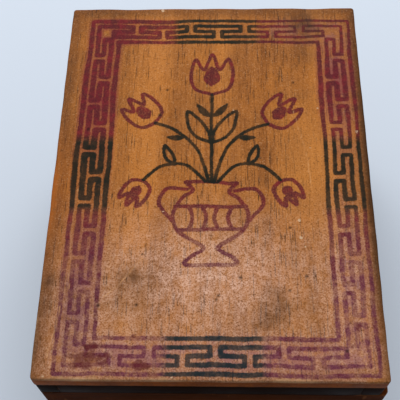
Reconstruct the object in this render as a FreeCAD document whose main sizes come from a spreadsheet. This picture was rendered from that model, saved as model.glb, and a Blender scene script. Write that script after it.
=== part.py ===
import FreeCAD, Part
import math
import os
import re

import Sketcher
from FreeCAD import Placement, Rotation, Vector

# A wooden toy box with a hinged lid, and a sprung jester folded down inside it.
# The origin is the middle of the underside: X to the right, Y to the back, Z up.

# Driving dimensions in millimetres and degrees: alias, value, what it measures
SIZES = [
    ("box_width", "77.2", "walls outside, left to right"),
    ("box_depth", "102.4", "walls and lid outside, front to back"),
    ("wall_height", "50", "walls above the floor board"),
    ("wall_thickness", "5", "walls and lid rim"),
    ("floor_thickness", "4", "floor board"),
    ("lid_shrink", "1.2", "lid narrower than the walls, shrunk across its grain"),
    ("lid_board_thickness", "4", "lid board"),
    ("rim_height", "6", "lid rim below its board"),
    ("seam_gap", "0.2", "between the walls and the lid rim"),
    ("corner_round", "1.2", "upright outside corners"),
    ("edge_round", "1", "upper edges of the lid board"),
    ("brad_radius", "0.5", "shank of a wall or floor brad"),
    ("brad_length", "14", "wall or floor brad"),
    ("brad_head_radius", "1", "head of a wall or floor brad"),
    ("brad_head_thickness", "0.4", "head of a wall or floor brad"),
    ("brad_inset", "11", "outer brads from the ends of their wall"),
    ("hinge_end_inset", "2.4", "right hinge from the inside of the lid rim"),
    ("hinge_length", "16", "hinge along its pin"),
    ("hinge_inset", "1.5", "hinge axis inside the back face"),
    ("hinge_pin_radius", "0.6", "hinge pin"),
    ("barrel_radius", "1.25", "hinge knuckles outside"),
    ("middle_knuckle", "5.2", "length of the lid's knuckle"),
    ("knuckle_gap", "0.15", "between neighbouring knuckles"),
    ("hinge_clearance", "0.25", "round the knuckles"),
    ("running_fit", "0.05", "lid's knuckle round the pin"),
    ("leaf_thickness", "0.7", "hinge leaf"),
    ("leaf_setback", "0.4", "hinge leaf from the inside face of its wall"),
    ("mortise_fit", "0.1", "hinge leaf in its mortise"),
    ("stop_angle", "106", "between the back bevels of wall and lid"),
    ("hinge_nail_radius", "0.45", "shank of a hinge nail"),
    ("hinge_nail_head_radius", "0.9", "head of a hinge nail"),
    ("hinge_nail_length", "4.5", "hinge nail"),
    ("hinge_nail_spacing", "10", "between the nails of a leaf"),
    ("catch_width", "8", "catch leaf"),
    ("catch_thickness", "0.5", "catch leaf"),
    ("catch_foot_rise", "12", "foot of the catch leaf above the floor board"),
    ("catch_reach", "1.4", "bump of the catch leaf"),
    ("catch_end", "0.6", "catch leaf above its bump"),
    ("catch_clearance", "0.3", "round the bump of the catch leaf"),
    ("catch_hole_fit", "0.15", "screw holes of the catch leaf round their screws"),
    ("packing_height", "12", "packing strip behind the catch leaf"),
    ("catch_screw_radius", "0.8", "shank of a catch screw"),
    ("catch_screw_length", "4.5", "catch screw below its head"),
    ("catch_screw_head_radius", "1.6", "head of a catch screw"),
    ("catch_screw_head_height", "0.9", "head of a catch screw"),
    ("catch_screw_spacing", "6", "between the catch screws"),
    ("slot_width", "0.5", "slot of a screw"),
    ("slot_depth", "0.45", "slot of a screw"),
    ("strike_width", "18", "strike plate"),
    ("strike_thickness", "0.6", "strike plate"),
    ("strike_edge", "0.2", "strike plate from the edges of the rim"),
    ("strike_nail_radius", "0.4", "shank of a strike nail"),
    ("strike_nail_head_radius", "0.8", "head of a strike nail"),
    ("strike_nail_length", "3.6", "strike nail"),
    ("strike_nail_spacing", "14", "between the strike nails"),
    ("disc_radius", "15", "base and cap discs"),
    ("disc_bevel", "0.5", "edges of the discs"),
    ("base_disc_height", "5", "base disc"),
    ("cap_disc_height", "4", "cap disc"),
    ("base_screw_radius", "1.3", "shank of the base screw"),
    ("base_screw_head_radius", "2.6", "head of the base screw"),
    ("base_screw_head_height", "1.5", "head of the base screw"),
    ("base_screw_length", "7.5", "base screw"),
    ("wire_radius", "0.5", "spring wire"),
    ("coil_radius", "12", "spring to the middle of its wire"),
    ("least_pitch", "2.4", "between neighbouring turns, at the least"),
    ("spring_seat", "0.1", "between the spring and its discs"),
    ("staple_radius", "0.35", "wire of a staple"),
    ("staple_gap", "0.1", "between a staple and the spring"),
    ("staple_depth", "2.6", "legs of a staple in their disc"),
    ("sleeve_thickness", "0.8", "sleeve cloth, measured outwards"),
    ("fold_depth", "4", "folds of the sleeve"),
    ("fold_pitch", "2.5", "between the folds of the sleeve, about"),
    ("fold_margin", "1.2", "plain cloth between the discs and the folds"),
    ("cloth_gap", "0.15", "between cloth and what it goes round"),
    ("binding_width", "3", "tape round the sleeve"),
    ("binding_thickness", "0.6", "tape round the sleeve"),
    ("binding_inset", "0.4", "tape from the outer face of its disc"),
    ("jack_clearance", "0.6", "between the hat and the lid board"),
    ("neck_radius", "4", "neck peg"),
    ("neck_rise", "2", "between the cap disc and the head"),
    ("peg_seat", "3", "neck peg in the cap disc"),
    ("peg_depth", "8", "neck peg in the head"),
    ("head_radius", "13", "turned head"),
    ("nose_radius", "2.2", "nose bead"),
    ("nose_reach", "0.8", "middle of the nose bead in front of the head"),
    ("nose_drop", "1.2", "nose bead below the middle of the head"),
    ("ruff_radius", "17", "ruff"),
    ("ruff_flat", "10", "flat middle of the ruff"),
    ("ruff_lift", "4", "edge of the ruff above the cap disc"),
    ("ruff_thickness", "1.5", "ruff"),
    ("hat_thickness", "1.2", "felt of the hat"),
    ("hat_rise", "3.2", "hat band above the middle of the head"),
    ("point_root_radius", "4.6", "hat point at the crown"),
    ("point_tip_radius", "1.3", "hat point at its tip"),
    ("point_root_angle", "35", "hat point's root above the level"),
    ("point_root_depth", "2", "hat point's root inside the crown"),
    ("point_lean", "20", "hat point's first direction above the level"),
    ("point_turn", "115", "bend of a hat point"),
    ("point_bend_radius", "12", "bend of a hat point"),
    ("bell_radius", "2.4", "bell at the tip of a hat point"),
    ("bell_overlap", "0.6", "bell over the tip of a hat point"),
    ("hand_clearance", "3", "between a hand and its wall"),
    ("arm_root_radius", "3.2", "arm at the shoulder"),
    ("arm_wrist_radius", "2.6", "arm at the wrist"),
    ("arm_drop_angle", "18", "arm below the level"),
    ("arm_rise", "2.8", "shoulder above the underside of the cap disc"),
    ("hand_radius", "3.2", "hand"),
    ("hand_overlap", "1", "hand over the wrist"),
]

# Places worked out from the driving dimensions: alias, formula, what it is
PLACES = [
    ("half_width", "box_width / 2", "outside of the right wall"),
    ("half_depth", "box_depth / 2", "outside of the back wall"),
    ("inner_half_width", "half_width - wall_thickness", "inside of the right wall"),
    ("inner_half_depth", "half_depth - wall_thickness", "inside of the back wall"),
    ("lid_left", "-half_width", "left side of the lid"),
    ("lid_right", "half_width - lid_shrink", "right side of the lid"),
    ("seam_z", "floor_thickness + wall_height", "top of the walls"),
    ("lid_z", "seam_z + seam_gap", "underside of the lid rim"),
    ("lid_board_z", "lid_z + rim_height", "underside of the lid board"),
    ("top_z", "lid_board_z + lid_board_thickness", "top of the lid"),
    ("axis_y", "half_depth - hinge_inset", "hinge axis"),
    ("axis_z", "seam_z + seam_gap / 2", "hinge axis"),
    ("bevel_drop", "hinge_inset * tan(stop_angle / 2)", "height of a back bevel"),
    ("leaf_front_y", "inner_half_depth + leaf_setback", "front edge of the hinge leaves"),
    ("knuckle_front_y", "axis_y - barrel_radius", "front of the hinge knuckles"),
    ("hinge_nail_y", "(leaf_front_y + knuckle_front_y) / 2", "hinge nails"),
    ("middle_half", "middle_knuckle / 2", "half of the lid's knuckle"),
    ("hinge_x", "lid_right - wall_thickness - hinge_end_inset - hinge_length / 2", "right hinge"),
    ("catch_y", "strike_thickness + catch_clearance - inner_half_depth", "front face of the catch leaf"),
    ("catch_back_y", "catch_y + catch_thickness", "back face of the catch leaf"),
    ("catch_foot_z", "floor_thickness + catch_foot_rise", "foot of the catch leaf"),
    ("bump_z", "lid_z + rim_height / 2", "middle of the bump of the catch leaf"),
    ("base_top_z", "floor_thickness + base_disc_height", "top of the base disc"),
    ("hat_radius", "head_radius + cloth_gap + hat_thickness", "outside of the hat crown"),
    ("head_z", "lid_board_z - jack_clearance - hat_radius", "middle of the head"),
    ("head_low_z", "head_z - head_radius", "underside of the head"),
    ("cap_top_z", "head_low_z - neck_rise", "top of the cap disc"),
    ("cap_z", "cap_top_z - cap_disc_height", "underside of the cap disc"),
    ("sleeve_inner_radius", "disc_radius + cloth_gap", "inside of the sleeve"),
    ("sleeve_radius", "sleeve_inner_radius + sleeve_thickness", "outside of the plain sleeve"),
    ("binding_inner_radius", "sleeve_radius + cloth_gap", "inside of the binding tapes"),
    ("binding_radius", "binding_inner_radius + binding_thickness", "outside of the binding tapes"),
    ("shoulder_radius", "binding_radius + cloth_gap", "inner end of the arms"),
    ("palm_x", "inner_half_width - hand_clearance - hand_radius", "middle of the right hand"),
    ("palm_reach", "(palm_x - disc_radius) / cos(arm_drop_angle)", "middle of a hand along its arm"),
    ("coil_low_z", "base_top_z + spring_seat + wire_radius", "middle of the wire of the lowest turn"),
    ("coil_high_z", "cap_z - spring_seat - wire_radius", "middle of the wire of the highest turn"),
]

AXES = "xyz"
AXIS_TURN = {"x": Rotation(Vector(0, 1, 0), 90), "y": Rotation(Vector(1, 0, 0), -90), "z": Rotation()}
SIDES = {"left": -1, "right": 1}
POINT_SHARES = (0, 0.2, 0.4, 0.6, 0.8, 1)
PAST = 1
TOUCH = 1e-6

doc = FreeCAD.newDocument("JackInTheBox")
size_names = {alias for alias, value, note in SIZES}
place_names = {alias for alias, formula, note in PLACES}
subparts = []


# Sheets and expressions
def expand(text, own=()):
    """Puts the sheet's name before each alias, apart from those of the formula's own sheet."""
    def with_sheet(found):
        word = found.group()
        if word in own:
            return word
        if word in size_names:
            return f"Sizes.{word}"
        return f"Places.{word}" if word in place_names else word
    return re.sub(r"[a-z_]+", with_sheet, text)


def fill_sheet(name, rows):
    """Adds a sheet with one row for each alias: its note and its value or formula."""
    sheet = doc.addObject("Spreadsheet::Sheet", name)
    for row, (alias, value, note) in enumerate(rows, start=1):
        sheet.set(f"A{row}", note)
        sheet.set(f"B{row}", value)
        sheet.setAlias(f"B{row}", alias)
    doc.recompute()
    return sheet


sizes = fill_sheet("Sizes", SIZES)
fill_sheet("Places", [(alias, "=" + expand(formula, place_names), note) for alias, formula, note in PLACES])


def number(text):
    """Value of an expression in the sheets' aliases."""
    return float(sizes.evalExpression(expand(text)))


def bind(item, prop, text):
    """Ties a property to an expression in the sheets' aliases."""
    item.setExpression(prop, expand(text))


def keep(item):
    """Hands in an object as a sub-part under its label."""
    subparts.append(item)
    return item


# Primitives, bound to the sheets
def board(name, x, y, z):
    """Block between a low and a high expression along each axis."""
    item = doc.addObject("Part::Box", name)
    for prop, axis, (low, high) in zip(("Length", "Width", "Height"), AXES, (x, y, z)):
        bind(item, prop, f"({high}) - ({low})")
        bind(item, f"Placement.Base.{axis}", low)
    return item


def set_along(item, axis, low, middle):
    """Turns an item's own Z to an axis and binds the place of its foot."""
    item.Placement = Placement(Vector(), AXIS_TURN[axis])
    across = iter(middle)
    for each in AXES:
        bind(item, f"Placement.Base.{each}", low if each == axis else next(across))
    return item


def rod(name, axis, radius, span, middle):
    """Cylinder along an axis over a span, with its middle across the axis."""
    item = doc.addObject("Part::Cylinder", name)
    bind(item, "Radius", radius)
    bind(item, "Height", f"({span[1]}) - ({span[0]})")
    return set_along(item, axis, span[0], middle)


def cone(name, axis, radii, span, middle):
    """Cone along an axis, with its radius at the low and the high end of its span."""
    item = doc.addObject("Part::Cone", name)
    bind(item, "Radius1", radii[0])
    bind(item, "Radius2", radii[1])
    bind(item, "Height", f"({span[1]}) - ({span[0]})")
    return set_along(item, axis, span[0], middle)


def ball(name, radius, centre):
    """Sphere round a centre of three expressions."""
    item = doc.addObject("Part::Sphere", name)
    bind(item, "Radius", radius)
    for axis, text in zip(AXES, centre):
        bind(item, f"Placement.Base.{axis}", text)
    return item


def fuse(name, *items):
    """One solid from several."""
    item = doc.addObject("Part::MultiFuse", name)
    item.Shapes = list(items)
    return item


def group(name, items):
    """Separate solids under one label."""
    item = doc.addObject("Part::Compound", name)
    item.Links = list(items)
    return item


def cut(name, base, *tools):
    """A solid less its tools."""
    item = doc.addObject("Part::Cut", name)
    item.Base = base
    item.Tool = tools[0] if len(tools) == 1 else group(f"{name}_tools", tools)
    return item


def ring(name, radii, span):
    """Tube round the upright middle axis, from its inner to its outer radius."""
    outer = rod(f"{name}_outer", "z", radii[1], span, ("0", "0"))
    inner = rod(f"{name}_inner", "z", radii[0], (f"{span[0]} - {PAST}", f"{span[1]} + {PAST}"), ("0", "0"))
    return cut(name, outer, inner)


def feature(name, shape, lift):
    """Shape made by code, raised to its place."""
    item = doc.addObject("Part::Feature", name)
    item.Shape = shape
    item.Placement = Placement(Vector(0, 0, number(lift)), Rotation())
    return item


# Sketched bodies
def profile(body, plane, points, offset):
    """Closed outline through pairs of expressions, on one of the body's origin planes."""
    sketch = body.newObject("Sketcher::SketchObject", f"{body.Name}_profile")
    sketch.AttachmentSupport = [(next(part for part in body.Origin.OriginFeatures if part.Role == plane), "")]
    sketch.MapMode = "FlatFace"
    bind(sketch, "AttachmentOffset.Base.z", offset)
    corners = [Vector(number(across), number(up), 0) for across, up in points]
    for start, end in zip(corners, corners[1:] + corners[:1]):
        sketch.addGeometry(Part.LineSegment(start, end))
    for line, (across, up) in enumerate(points):
        sketch.addConstraint(Sketcher.Constraint("Coincident", line, 2, (line + 1) % len(points), 1))
        for kind, value, text in (("DistanceX", corners[line].x, across), ("DistanceY", corners[line].y, up)):
            index = sketch.addConstraint(Sketcher.Constraint(kind, -1, 1, line, 1, value))
            bind(sketch, f"Constraints[{index}]", text)
    return sketch


def padded(name, plane, points, span):
    """Body of an outline padded over a span square to its plane."""
    body = doc.addObject("PartDesign::Body", name)
    sketch = profile(body, plane, points, span[0])
    pad = body.newObject("PartDesign::Pad", f"{name}_pad")
    pad.Profile = sketch
    bind(pad, "Length", f"({span[1]}) - ({span[0]})")
    return body


def turned(name, points):
    """Body of an outline of radius and height turned round the upright middle axis."""
    body = doc.addObject("PartDesign::Body", name)
    sketch = profile(body, "XZ_Plane", points, "0")
    turn = body.newObject("PartDesign::Revolution", f"{name}_turn")
    turn.Profile = sketch
    turn.ReferenceAxis = (sketch, ["V_Axis"])
    return body


def rounded(body, radius, wanted):
    """Rounds the edges of a body that a test of their two ends picks."""
    doc.recompute()
    base = body.Tip
    names = []
    for index, edge in enumerate(base.Shape.Edges, start=1):
        if wanted(edge.Vertexes[0].Point, edge.Vertexes[-1].Point):
            names.append(f"Edge{index}")
    fillet = body.newObject("PartDesign::Fillet", f"{body.Name}_round")
    fillet.Base = (base, names)
    bind(fillet, "Radius", radius)
    return body


def upright_at(side):
    """Test for upright edges in the outside plane at an X expression."""
    plane_x = number(side)

    def wanted(start, end):
        level = abs(start.x - end.x) + abs(start.y - end.y) < TOUCH
        return level and abs(start.x - plane_x) < TOUCH and abs(abs(start.y) - number("half_depth")) < TOUCH
    return wanted


# Fasteners
def brad(name, axis, head_at, inwards, middle):
    """Flat-headed brad, driven inwards (1 or -1) along an axis from a face."""
    def span(near, far):
        ends = [f"{head_at} + {inwards} * ({depth})" for depth in (near, far)]
        return ends[::inwards]
    head = rod(f"{name}_head", axis, "brad_head_radius", span("0", "brad_head_thickness"), middle)
    shank = rod(f"{name}_shank", axis, "brad_radius", span("brad_head_thickness", "brad_length"), middle)
    return fuse(name, head, shank)


def wall_brads():
    """Brads through the side walls into the ends of the front and back walls."""
    rows = ["floor_thickness + brad_inset", "floor_thickness + wall_height / 2", "seam_z - brad_inset"]
    brads = []
    for inwards, face in ((1, "-half_width"), (-1, "half_width")):
        for end in (-1, 1):
            for row in rows:
                place = (f"{end} * (half_depth - wall_thickness / 2)", row)
                brads.append(brad("wall_brad", "x", face, inwards, place))
    return keep(group("wall_brads", brads))


def floor_brads():
    """Brads up through the floor board into the walls."""
    middles = []
    for side in (-1, 1):
        wall_x = f"{side} * (half_width - wall_thickness / 2)"
        middles += [(wall_x, f"{row} * (half_depth - brad_inset)") for row in (-1, 0, 1)]
        middles.append(("0", f"{side} * (half_depth - wall_thickness / 2)"))
    return keep(group("floor_brads", [brad("floor_brad", "z", "0", 1, middle) for middle in middles]))


# Box
def panel(name, x, z):
    """Board over the full depth, with its upright corners rounded."""
    points = [(x[0], "-half_depth"), (x[1], "-half_depth"), (x[1], "half_depth"), (x[0], "half_depth")]
    body = padded(name, "XY_Plane", points, z)
    for side in x:
        rounded(body, "corner_round", upright_at(side))
    return body


def side_wall(name, span, outside, brads):
    """Side wall over the full depth, with its top back corner bevelled."""
    points = [
        ("-half_depth", "floor_thickness"), ("half_depth", "floor_thickness"),
        ("half_depth", "seam_z - bevel_drop"), ("axis_y", "seam_z"), ("-half_depth", "seam_z"),
    ]
    body = padded(f"{name}_board", "YZ_Plane", points, span)
    rounded(body, "corner_round", upright_at(outside))
    return keep(cut(name, body, *brads))


def box_walls(brads, base_brads, hinge_tools, catch_tools):
    """Two full side walls with the front and back walls between them."""
    side_wall("left_wall", ("-half_width", "-inner_half_width"), "-half_width", (brads, base_brads))
    side_wall("right_wall", ("inner_half_width", "half_width"), "half_width", (brads, base_brads))
    across = ("-inner_half_width", "inner_half_width")
    front = board("front_wall_board", across, ("-half_depth", "-inner_half_depth"),
                  ("floor_thickness", "seam_z"))
    keep(cut("front_wall", front, brads, base_brads, *catch_tools))
    points = [
        ("inner_half_depth", "floor_thickness"), ("half_depth", "floor_thickness"),
        ("half_depth", "seam_z - bevel_drop"), ("axis_y", "seam_z"), ("inner_half_depth", "seam_z"),
    ]
    back = padded("back_wall_board", "YZ_Plane", points, across)
    keep(cut("back_wall", back, brads, base_brads, *hinge_tools))


def floor_board(brads, screw):
    """Floor board under all four walls."""
    body = panel("floor_board_blank", ("-half_width", "half_width"), ("0", "floor_thickness"))
    keep(cut("floor_board", body, brads, screw))


# Lid
def lid_board():
    """Lid board with eased corners and upper edges."""
    body = panel("lid_board", ("lid_left", "lid_right"), ("lid_board_z", "top_z"))
    top = number("top_z")
    rounded(body, "edge_round", lambda start, end: abs(start.z - top) + abs(end.z - top) < TOUCH)
    keep(body)


def lid_rim(hinge_tools, catch_tools):
    """Four sticks under the lid board: two full sides, with front and back between them."""
    side = [
        ("-half_depth", "lid_z"), ("axis_y", "lid_z"), ("half_depth", "lid_z + bevel_drop"),
        ("half_depth", "lid_board_z"), ("-half_depth", "lid_board_z"),
    ]
    left = padded("lid_left_rim", "YZ_Plane", side, ("lid_left", "lid_left + wall_thickness"))
    keep(rounded(left, "corner_round", upright_at("lid_left")))
    right = padded("lid_right_rim", "YZ_Plane", side, ("lid_right - wall_thickness", "lid_right"))
    keep(rounded(right, "corner_round", upright_at("lid_right")))
    across = ("lid_left + wall_thickness", "lid_right - wall_thickness")
    front = board("lid_front_stick", across, ("-half_depth", "-inner_half_depth"), ("lid_z", "lid_board_z"))
    keep(cut("lid_front_rim", front, *catch_tools))
    points = [("inner_half_depth", "lid_z")] + side[1:4] + [("inner_half_depth", "lid_board_z")]
    back = padded("lid_back_stick", "YZ_Plane", points, across)
    keep(cut("lid_back_rim", back, *hinge_tools))


# Hinges
def on_pin(side, along):
    """Place along a hinge's pin, from the middle of the hinge on that side."""
    return f"{SIDES[side]} * hinge_x + {along}"


def knuckle(name, side, radius, low, high):
    """Rod on the hinge axis between two places along the pin."""
    return rod(name, "x", radius, (on_pin(side, low), on_pin(side, high)), ("axis_y", "axis_z"))


def hinge_ends(extra="0"):
    """Both ends of a hinge, with some room past them."""
    return f"(-hinge_length / 2 - {extra})", f"(hinge_length / 2 + {extra})"


def leaf_plate(name, side, level, extra="0"):
    """Flat of a hinge leaf between two heights, with some room round it."""
    low, high = hinge_ends(extra)
    return board(name, (on_pin(side, low), on_pin(side, high)), (f"leaf_front_y - {extra}", "axis_y"), level)


def hinge_nails(name, tip, face, into):
    """Countersunk nails of both leaves on one side of the seam, from a face into the wood."""
    depths = ("0", "leaf_thickness", "hinge_nail_length")
    nails = []
    for side in SIDES:
        for end in (-1, 1):
            middle = (on_pin(side, f"({end} * hinge_nail_spacing / 2)"), "hinge_nail_y")
            heights = [f"{face} + {into} * ({depth})" for depth in depths]
            radii = ["hinge_nail_head_radius", "hinge_nail_radius"][::into]
            head = cone(f"{tip}_head", "z", radii, heights[:2][::into], middle)
            shank = rod(f"{tip}_shank", "z", "hinge_nail_radius", heights[1:][::into], middle)
            nails.append(fuse(tip, head, shank))
    return keep(group(name, nails))


def lower_leaf(side, nails):
    """Box leaf of a hinge, with the two outer knuckles."""
    name = f"hinge_lower_leaf_{side}"
    low, high = hinge_ends()
    plate = leaf_plate(f"{name}_plate", side, ("seam_z - leaf_thickness", "seam_z"))
    gap = "(middle_half + knuckle_gap)"
    notch = board(f"{name}_notch", (on_pin(side, f"(-{gap})"), on_pin(side, gap)),
                  ("knuckle_front_y - hinge_clearance", f"axis_y + {PAST}"),
                  (f"seam_z - leaf_thickness - {PAST}", f"seam_z + {PAST}"))
    flat = cut(f"{name}_flat", plate, notch)
    near = knuckle(f"{name}_near", side, "barrel_radius", low, f"(-{gap})")
    far = knuckle(f"{name}_far", side, "barrel_radius", gap, high)
    bore = knuckle(f"{name}_bore", side, "hinge_pin_radius", low, high)
    keep(cut(name, fuse(f"{name}_solid", flat, near, far), bore, nails))


def upper_leaf(side, nails):
    """Lid leaf of a hinge, with the middle knuckle."""
    name = f"hinge_upper_leaf_{side}"
    low, high = hinge_ends()
    plate = leaf_plate(f"{name}_plate", side, ("lid_z", "lid_z + leaf_thickness"))
    deep = ("knuckle_front_y - hinge_clearance", f"axis_y + {PAST}")
    tall = (f"lid_z - {PAST}", f"lid_z + leaf_thickness + {PAST}")
    before = (on_pin(side, f"({low} - {PAST})"), on_pin(side, "(-middle_half)"))
    after = (on_pin(side, "middle_half"), on_pin(side, f"({high} + {PAST})"))
    notches = [board(f"{name}_notch", span, deep, tall) for span in (before, after)]
    flat = cut(f"{name}_flat", plate, *notches)
    middle = knuckle(f"{name}_middle", side, "barrel_radius", "(-middle_half)", "middle_half")
    bore = knuckle(f"{name}_bore", side, "(hinge_pin_radius + running_fit)", low, high)
    keep(cut(name, fuse(f"{name}_solid", flat, middle), bore, nails))


def hinges():
    """Both hinges; returns what they need cut out of the back wall and of the lid's back rim."""
    lower_nails = hinge_nails("hinge_lower_nails", "lower_nail", "seam_z", -1)
    upper_nails = hinge_nails("hinge_upper_nails", "upper_nail", "lid_z", 1)
    wall_tools = [lower_nails]
    rim_tools = [upper_nails]
    for side in SIDES:
        lower_leaf(side, lower_nails)
        upper_leaf(side, upper_nails)
        keep(knuckle(f"hinge_pin_{side}", side, "hinge_pin_radius", *hinge_ends()))
        channel = knuckle(f"hinge_channel_{side}", side, "(barrel_radius + hinge_clearance)",
                          *hinge_ends("mortise_fit"))
        below = ("seam_z - leaf_thickness", f"seam_z + {PAST}")
        above = (f"lid_z - {PAST}", "lid_z + leaf_thickness")
        wall_tools += [leaf_plate(f"wall_mortise_{side}", side, below, "mortise_fit"), channel]
        rim_tools += [leaf_plate(f"rim_mortise_{side}", side, above, "mortise_fit"), channel]
    return wall_tools, rim_tools


# Snap catch
def catch_screws():
    """Cheese-headed screws through the catch leaf and its packing into the front wall."""
    screws = []
    for end in (-1, 1):
        height = f"catch_foot_z + packing_height / 2 + {end} * catch_screw_spacing / 2"
        top = "catch_back_y + catch_screw_head_height"
        head = rod("catch_screw_head", "y", "catch_screw_head_radius", ("catch_back_y", top), ("0", height))
        shank = rod("catch_screw_shank", "y", "catch_screw_radius",
                    ("catch_back_y - catch_screw_length", "catch_back_y"), ("0", height))
        groove = board("catch_screw_slot", ("-catch_screw_head_radius", "catch_screw_head_radius"),
                       (f"{top} - slot_depth", f"{top} + {PAST}"),
                       (f"{height} - slot_width / 2", f"{height} + slot_width / 2"))
        screws.append(cut("catch_screw", fuse("catch_screw_solid", head, shank), groove))
    return keep(group("catch_screws", screws))


def catch_leaf():
    """Springy strip with a bump that snaps into the strike plate."""
    top = "bump_z + catch_reach + catch_end"
    points = [
        ("catch_back_y", "catch_foot_z"), ("catch_back_y", top), ("catch_y", top),
        ("catch_y", "bump_z + catch_reach"), ("catch_y - catch_reach", "bump_z"),
        ("catch_y", "bump_z - catch_reach"), ("catch_y", "catch_foot_z"),
    ]
    strip = padded("catch_strip", "YZ_Plane", points, ("-catch_width / 2", "catch_width / 2"))
    holes = []
    for end in (-1, 1):
        height = f"catch_foot_z + packing_height / 2 + {end} * catch_screw_spacing / 2"
        holes.append(rod("catch_hole", "y", "(catch_screw_radius + catch_hole_fit)",
                         (f"catch_y - {PAST}", f"catch_back_y + {PAST}"), ("0", height)))
    keep(cut("catch_leaf", strip, *holes))


def catch_strike(nails):
    """Strike plate on the inside of the lid's front rim, with a slot for the bump."""
    plate = board("strike_plate", ("-strike_width / 2", "strike_width / 2"),
                  ("-inner_half_depth", "strike_thickness - inner_half_depth"),
                  ("lid_z + strike_edge", "lid_board_z - strike_edge"))
    keep(cut("catch_strike", plate, bump_room("strike_slot"), nails))


def bump_room(name):
    """Room for the bump in the strike plate and the rim behind it."""
    half = "(catch_width / 2 + catch_clearance)"
    room = "(catch_reach + catch_clearance)"
    return board(name, (f"-{half}", half), (f"catch_y - {room}", f"catch_y + {PAST}"),
                 (f"bump_z - {room}", f"bump_z + {room}"))


def strike_nails():
    """Countersunk nails of the strike plate."""
    face = "strike_thickness - inner_half_depth"
    nails = []
    for end in (-1, 1):
        middle = (f"{end} * strike_nail_spacing / 2", "bump_z")
        head = cone("strike_nail_head", "y", ("strike_nail_radius", "strike_nail_head_radius"),
                    ("-inner_half_depth", face), middle)
        shank = rod("strike_nail_shank", "y", "strike_nail_radius",
                    (f"{face} - strike_nail_length", "-inner_half_depth"), middle)
        nails.append(fuse("strike_nail", head, shank))
    return keep(group("strike_nails", nails))


def catch():
    """Snap catch; returns what it needs cut out of the front wall and of the lid's front rim."""
    screws = catch_screws()
    nails = strike_nails()
    packing = board("packing_strip", ("-catch_width / 2", "catch_width / 2"),
                    ("-inner_half_depth", "catch_y"),
                    ("catch_foot_z", "catch_foot_z + packing_height"))
    keep(cut("catch_packing", packing, screws))
    catch_leaf()
    catch_strike(nails)
    return [screws], [nails, bump_room("rim_pocket")]


# Spring and its discs
def base_screw():
    """Countersunk screw through the middle of the base disc into the floor board."""
    head_low = "base_top_z - base_screw_head_height"
    head = cone("base_screw_head", "z", ("base_screw_radius", "base_screw_head_radius"),
                (head_low, "base_top_z"), ("0", "0"))
    shank = rod("base_screw_shank", "z", "base_screw_radius",
                ("base_top_z - base_screw_length", head_low), ("0", "0"))
    groove = board("base_screw_slot", ("-base_screw_head_radius", "base_screw_head_radius"),
                   ("-slot_width / 2", "slot_width / 2"), ("base_top_z - slot_depth", f"base_top_z + {PAST}"))
    return keep(cut("base_disc_screw", fuse("base_screw_solid", head, shank), groove))


def disc(name, low, high):
    """Turned disc with bevelled edges."""
    points = [
        ("0", low), ("disc_radius - disc_bevel", low), ("disc_radius", f"{low} + disc_bevel"),
        ("disc_radius", f"{high} - disc_bevel"), ("disc_radius - disc_bevel", high), ("0", high),
    ]
    return turned(name, points)


def spring_turns():
    """Whole turns of the spring that fit between its discs."""
    return math.floor(number("(coil_high_z - coil_low_z) / least_pitch"))


def coil_point(turn):
    """Point on the middle of the wire after a number of turns, above the lowest one."""
    angle = 2 * math.pi * turn
    radius = number("coil_radius")
    rise = number("coil_high_z - coil_low_z") * turn / spring_turns()
    return Vector(radius * math.cos(angle), radius * math.sin(angle), rise)


def coil_tangent(turn):
    """Direction of the wire after a number of turns."""
    angle = 2 * math.pi * turn
    slope = number("coil_high_z - coil_low_z") / (2 * math.pi * number("coil_radius") * spring_turns())
    return Vector(-math.sin(angle), math.cos(angle), slope).normalize()


def arc_from(start, tangent, end):
    """Arc that leaves start along a tangent and reaches end."""
    chord = end - start
    half_sweep = chord.getAngle(tangent)
    side = tangent - chord * (tangent.dot(chord) / chord.dot(chord))
    middle = start + chord * 0.5 + side.normalize() * (chord.Length / 2 * math.tan(half_sweep / 2))
    return Part.Arc(start, middle, end).toShape()


def biarc(start, start_tangent, end, end_tangent):
    """Two arcs in a row that join two points along their tangents."""
    chord = end - start
    tangents = start_tangent + end_tangent
    lean = 2 * (1 - start_tangent.dot(end_tangent))
    along = chord.dot(tangents)
    reach = (math.sqrt(along * along + lean * chord.dot(chord)) - along) / lean
    joint = (start + end + (start_tangent - end_tangent) * reach) * 0.5
    joint_tangent = (end - joint - end_tangent * reach).normalize()
    return [arc_from(start, start_tangent, joint), arc_from(joint, joint_tangent, end)]


def tube(edges, radius):
    """Unbroken tube along tangent edges."""
    path = Part.Wire(edges)
    first = path.OrderedEdges[0]
    start = first.valueAt(first.FirstParameter)
    section = Part.Wire(Part.Circle(start, first.tangentAt(first.FirstParameter), radius).toShape())
    return path.makePipeShell([section], True, False)


def pop_spring():
    """Coil spring pressed flat between its discs, one unbroken wire with straight ends."""
    turns = spring_turns()
    straight = 2 * number("wire_radius")
    start = coil_point(0)
    end = coil_point(turns)
    edges = [Part.LineSegment(start - coil_tangent(0) * straight, start).toShape()]
    quarters = [quarter / 4 for quarter in range(4 * turns + 1)]
    for near, far in zip(quarters, quarters[1:]):
        edges += biarc(coil_point(near), coil_tangent(near), coil_point(far), coil_tangent(far))
    edges.append(Part.LineSegment(end, end + coil_tangent(turns) * straight).toShape())
    shape = tube(edges, number("wire_radius"))
    length = sum(edge.Length for edge in edges)
    print("spring turns", turns, "volume over section times length",
          round(shape.Volume / (math.pi * number("wire_radius") ** 2 * length), 4))
    print("spring least gap to itself", round(least_coil_gap(turns), 3), "mm")
    keep(feature("pop_spring", shape, "coil_low_z"))


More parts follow.
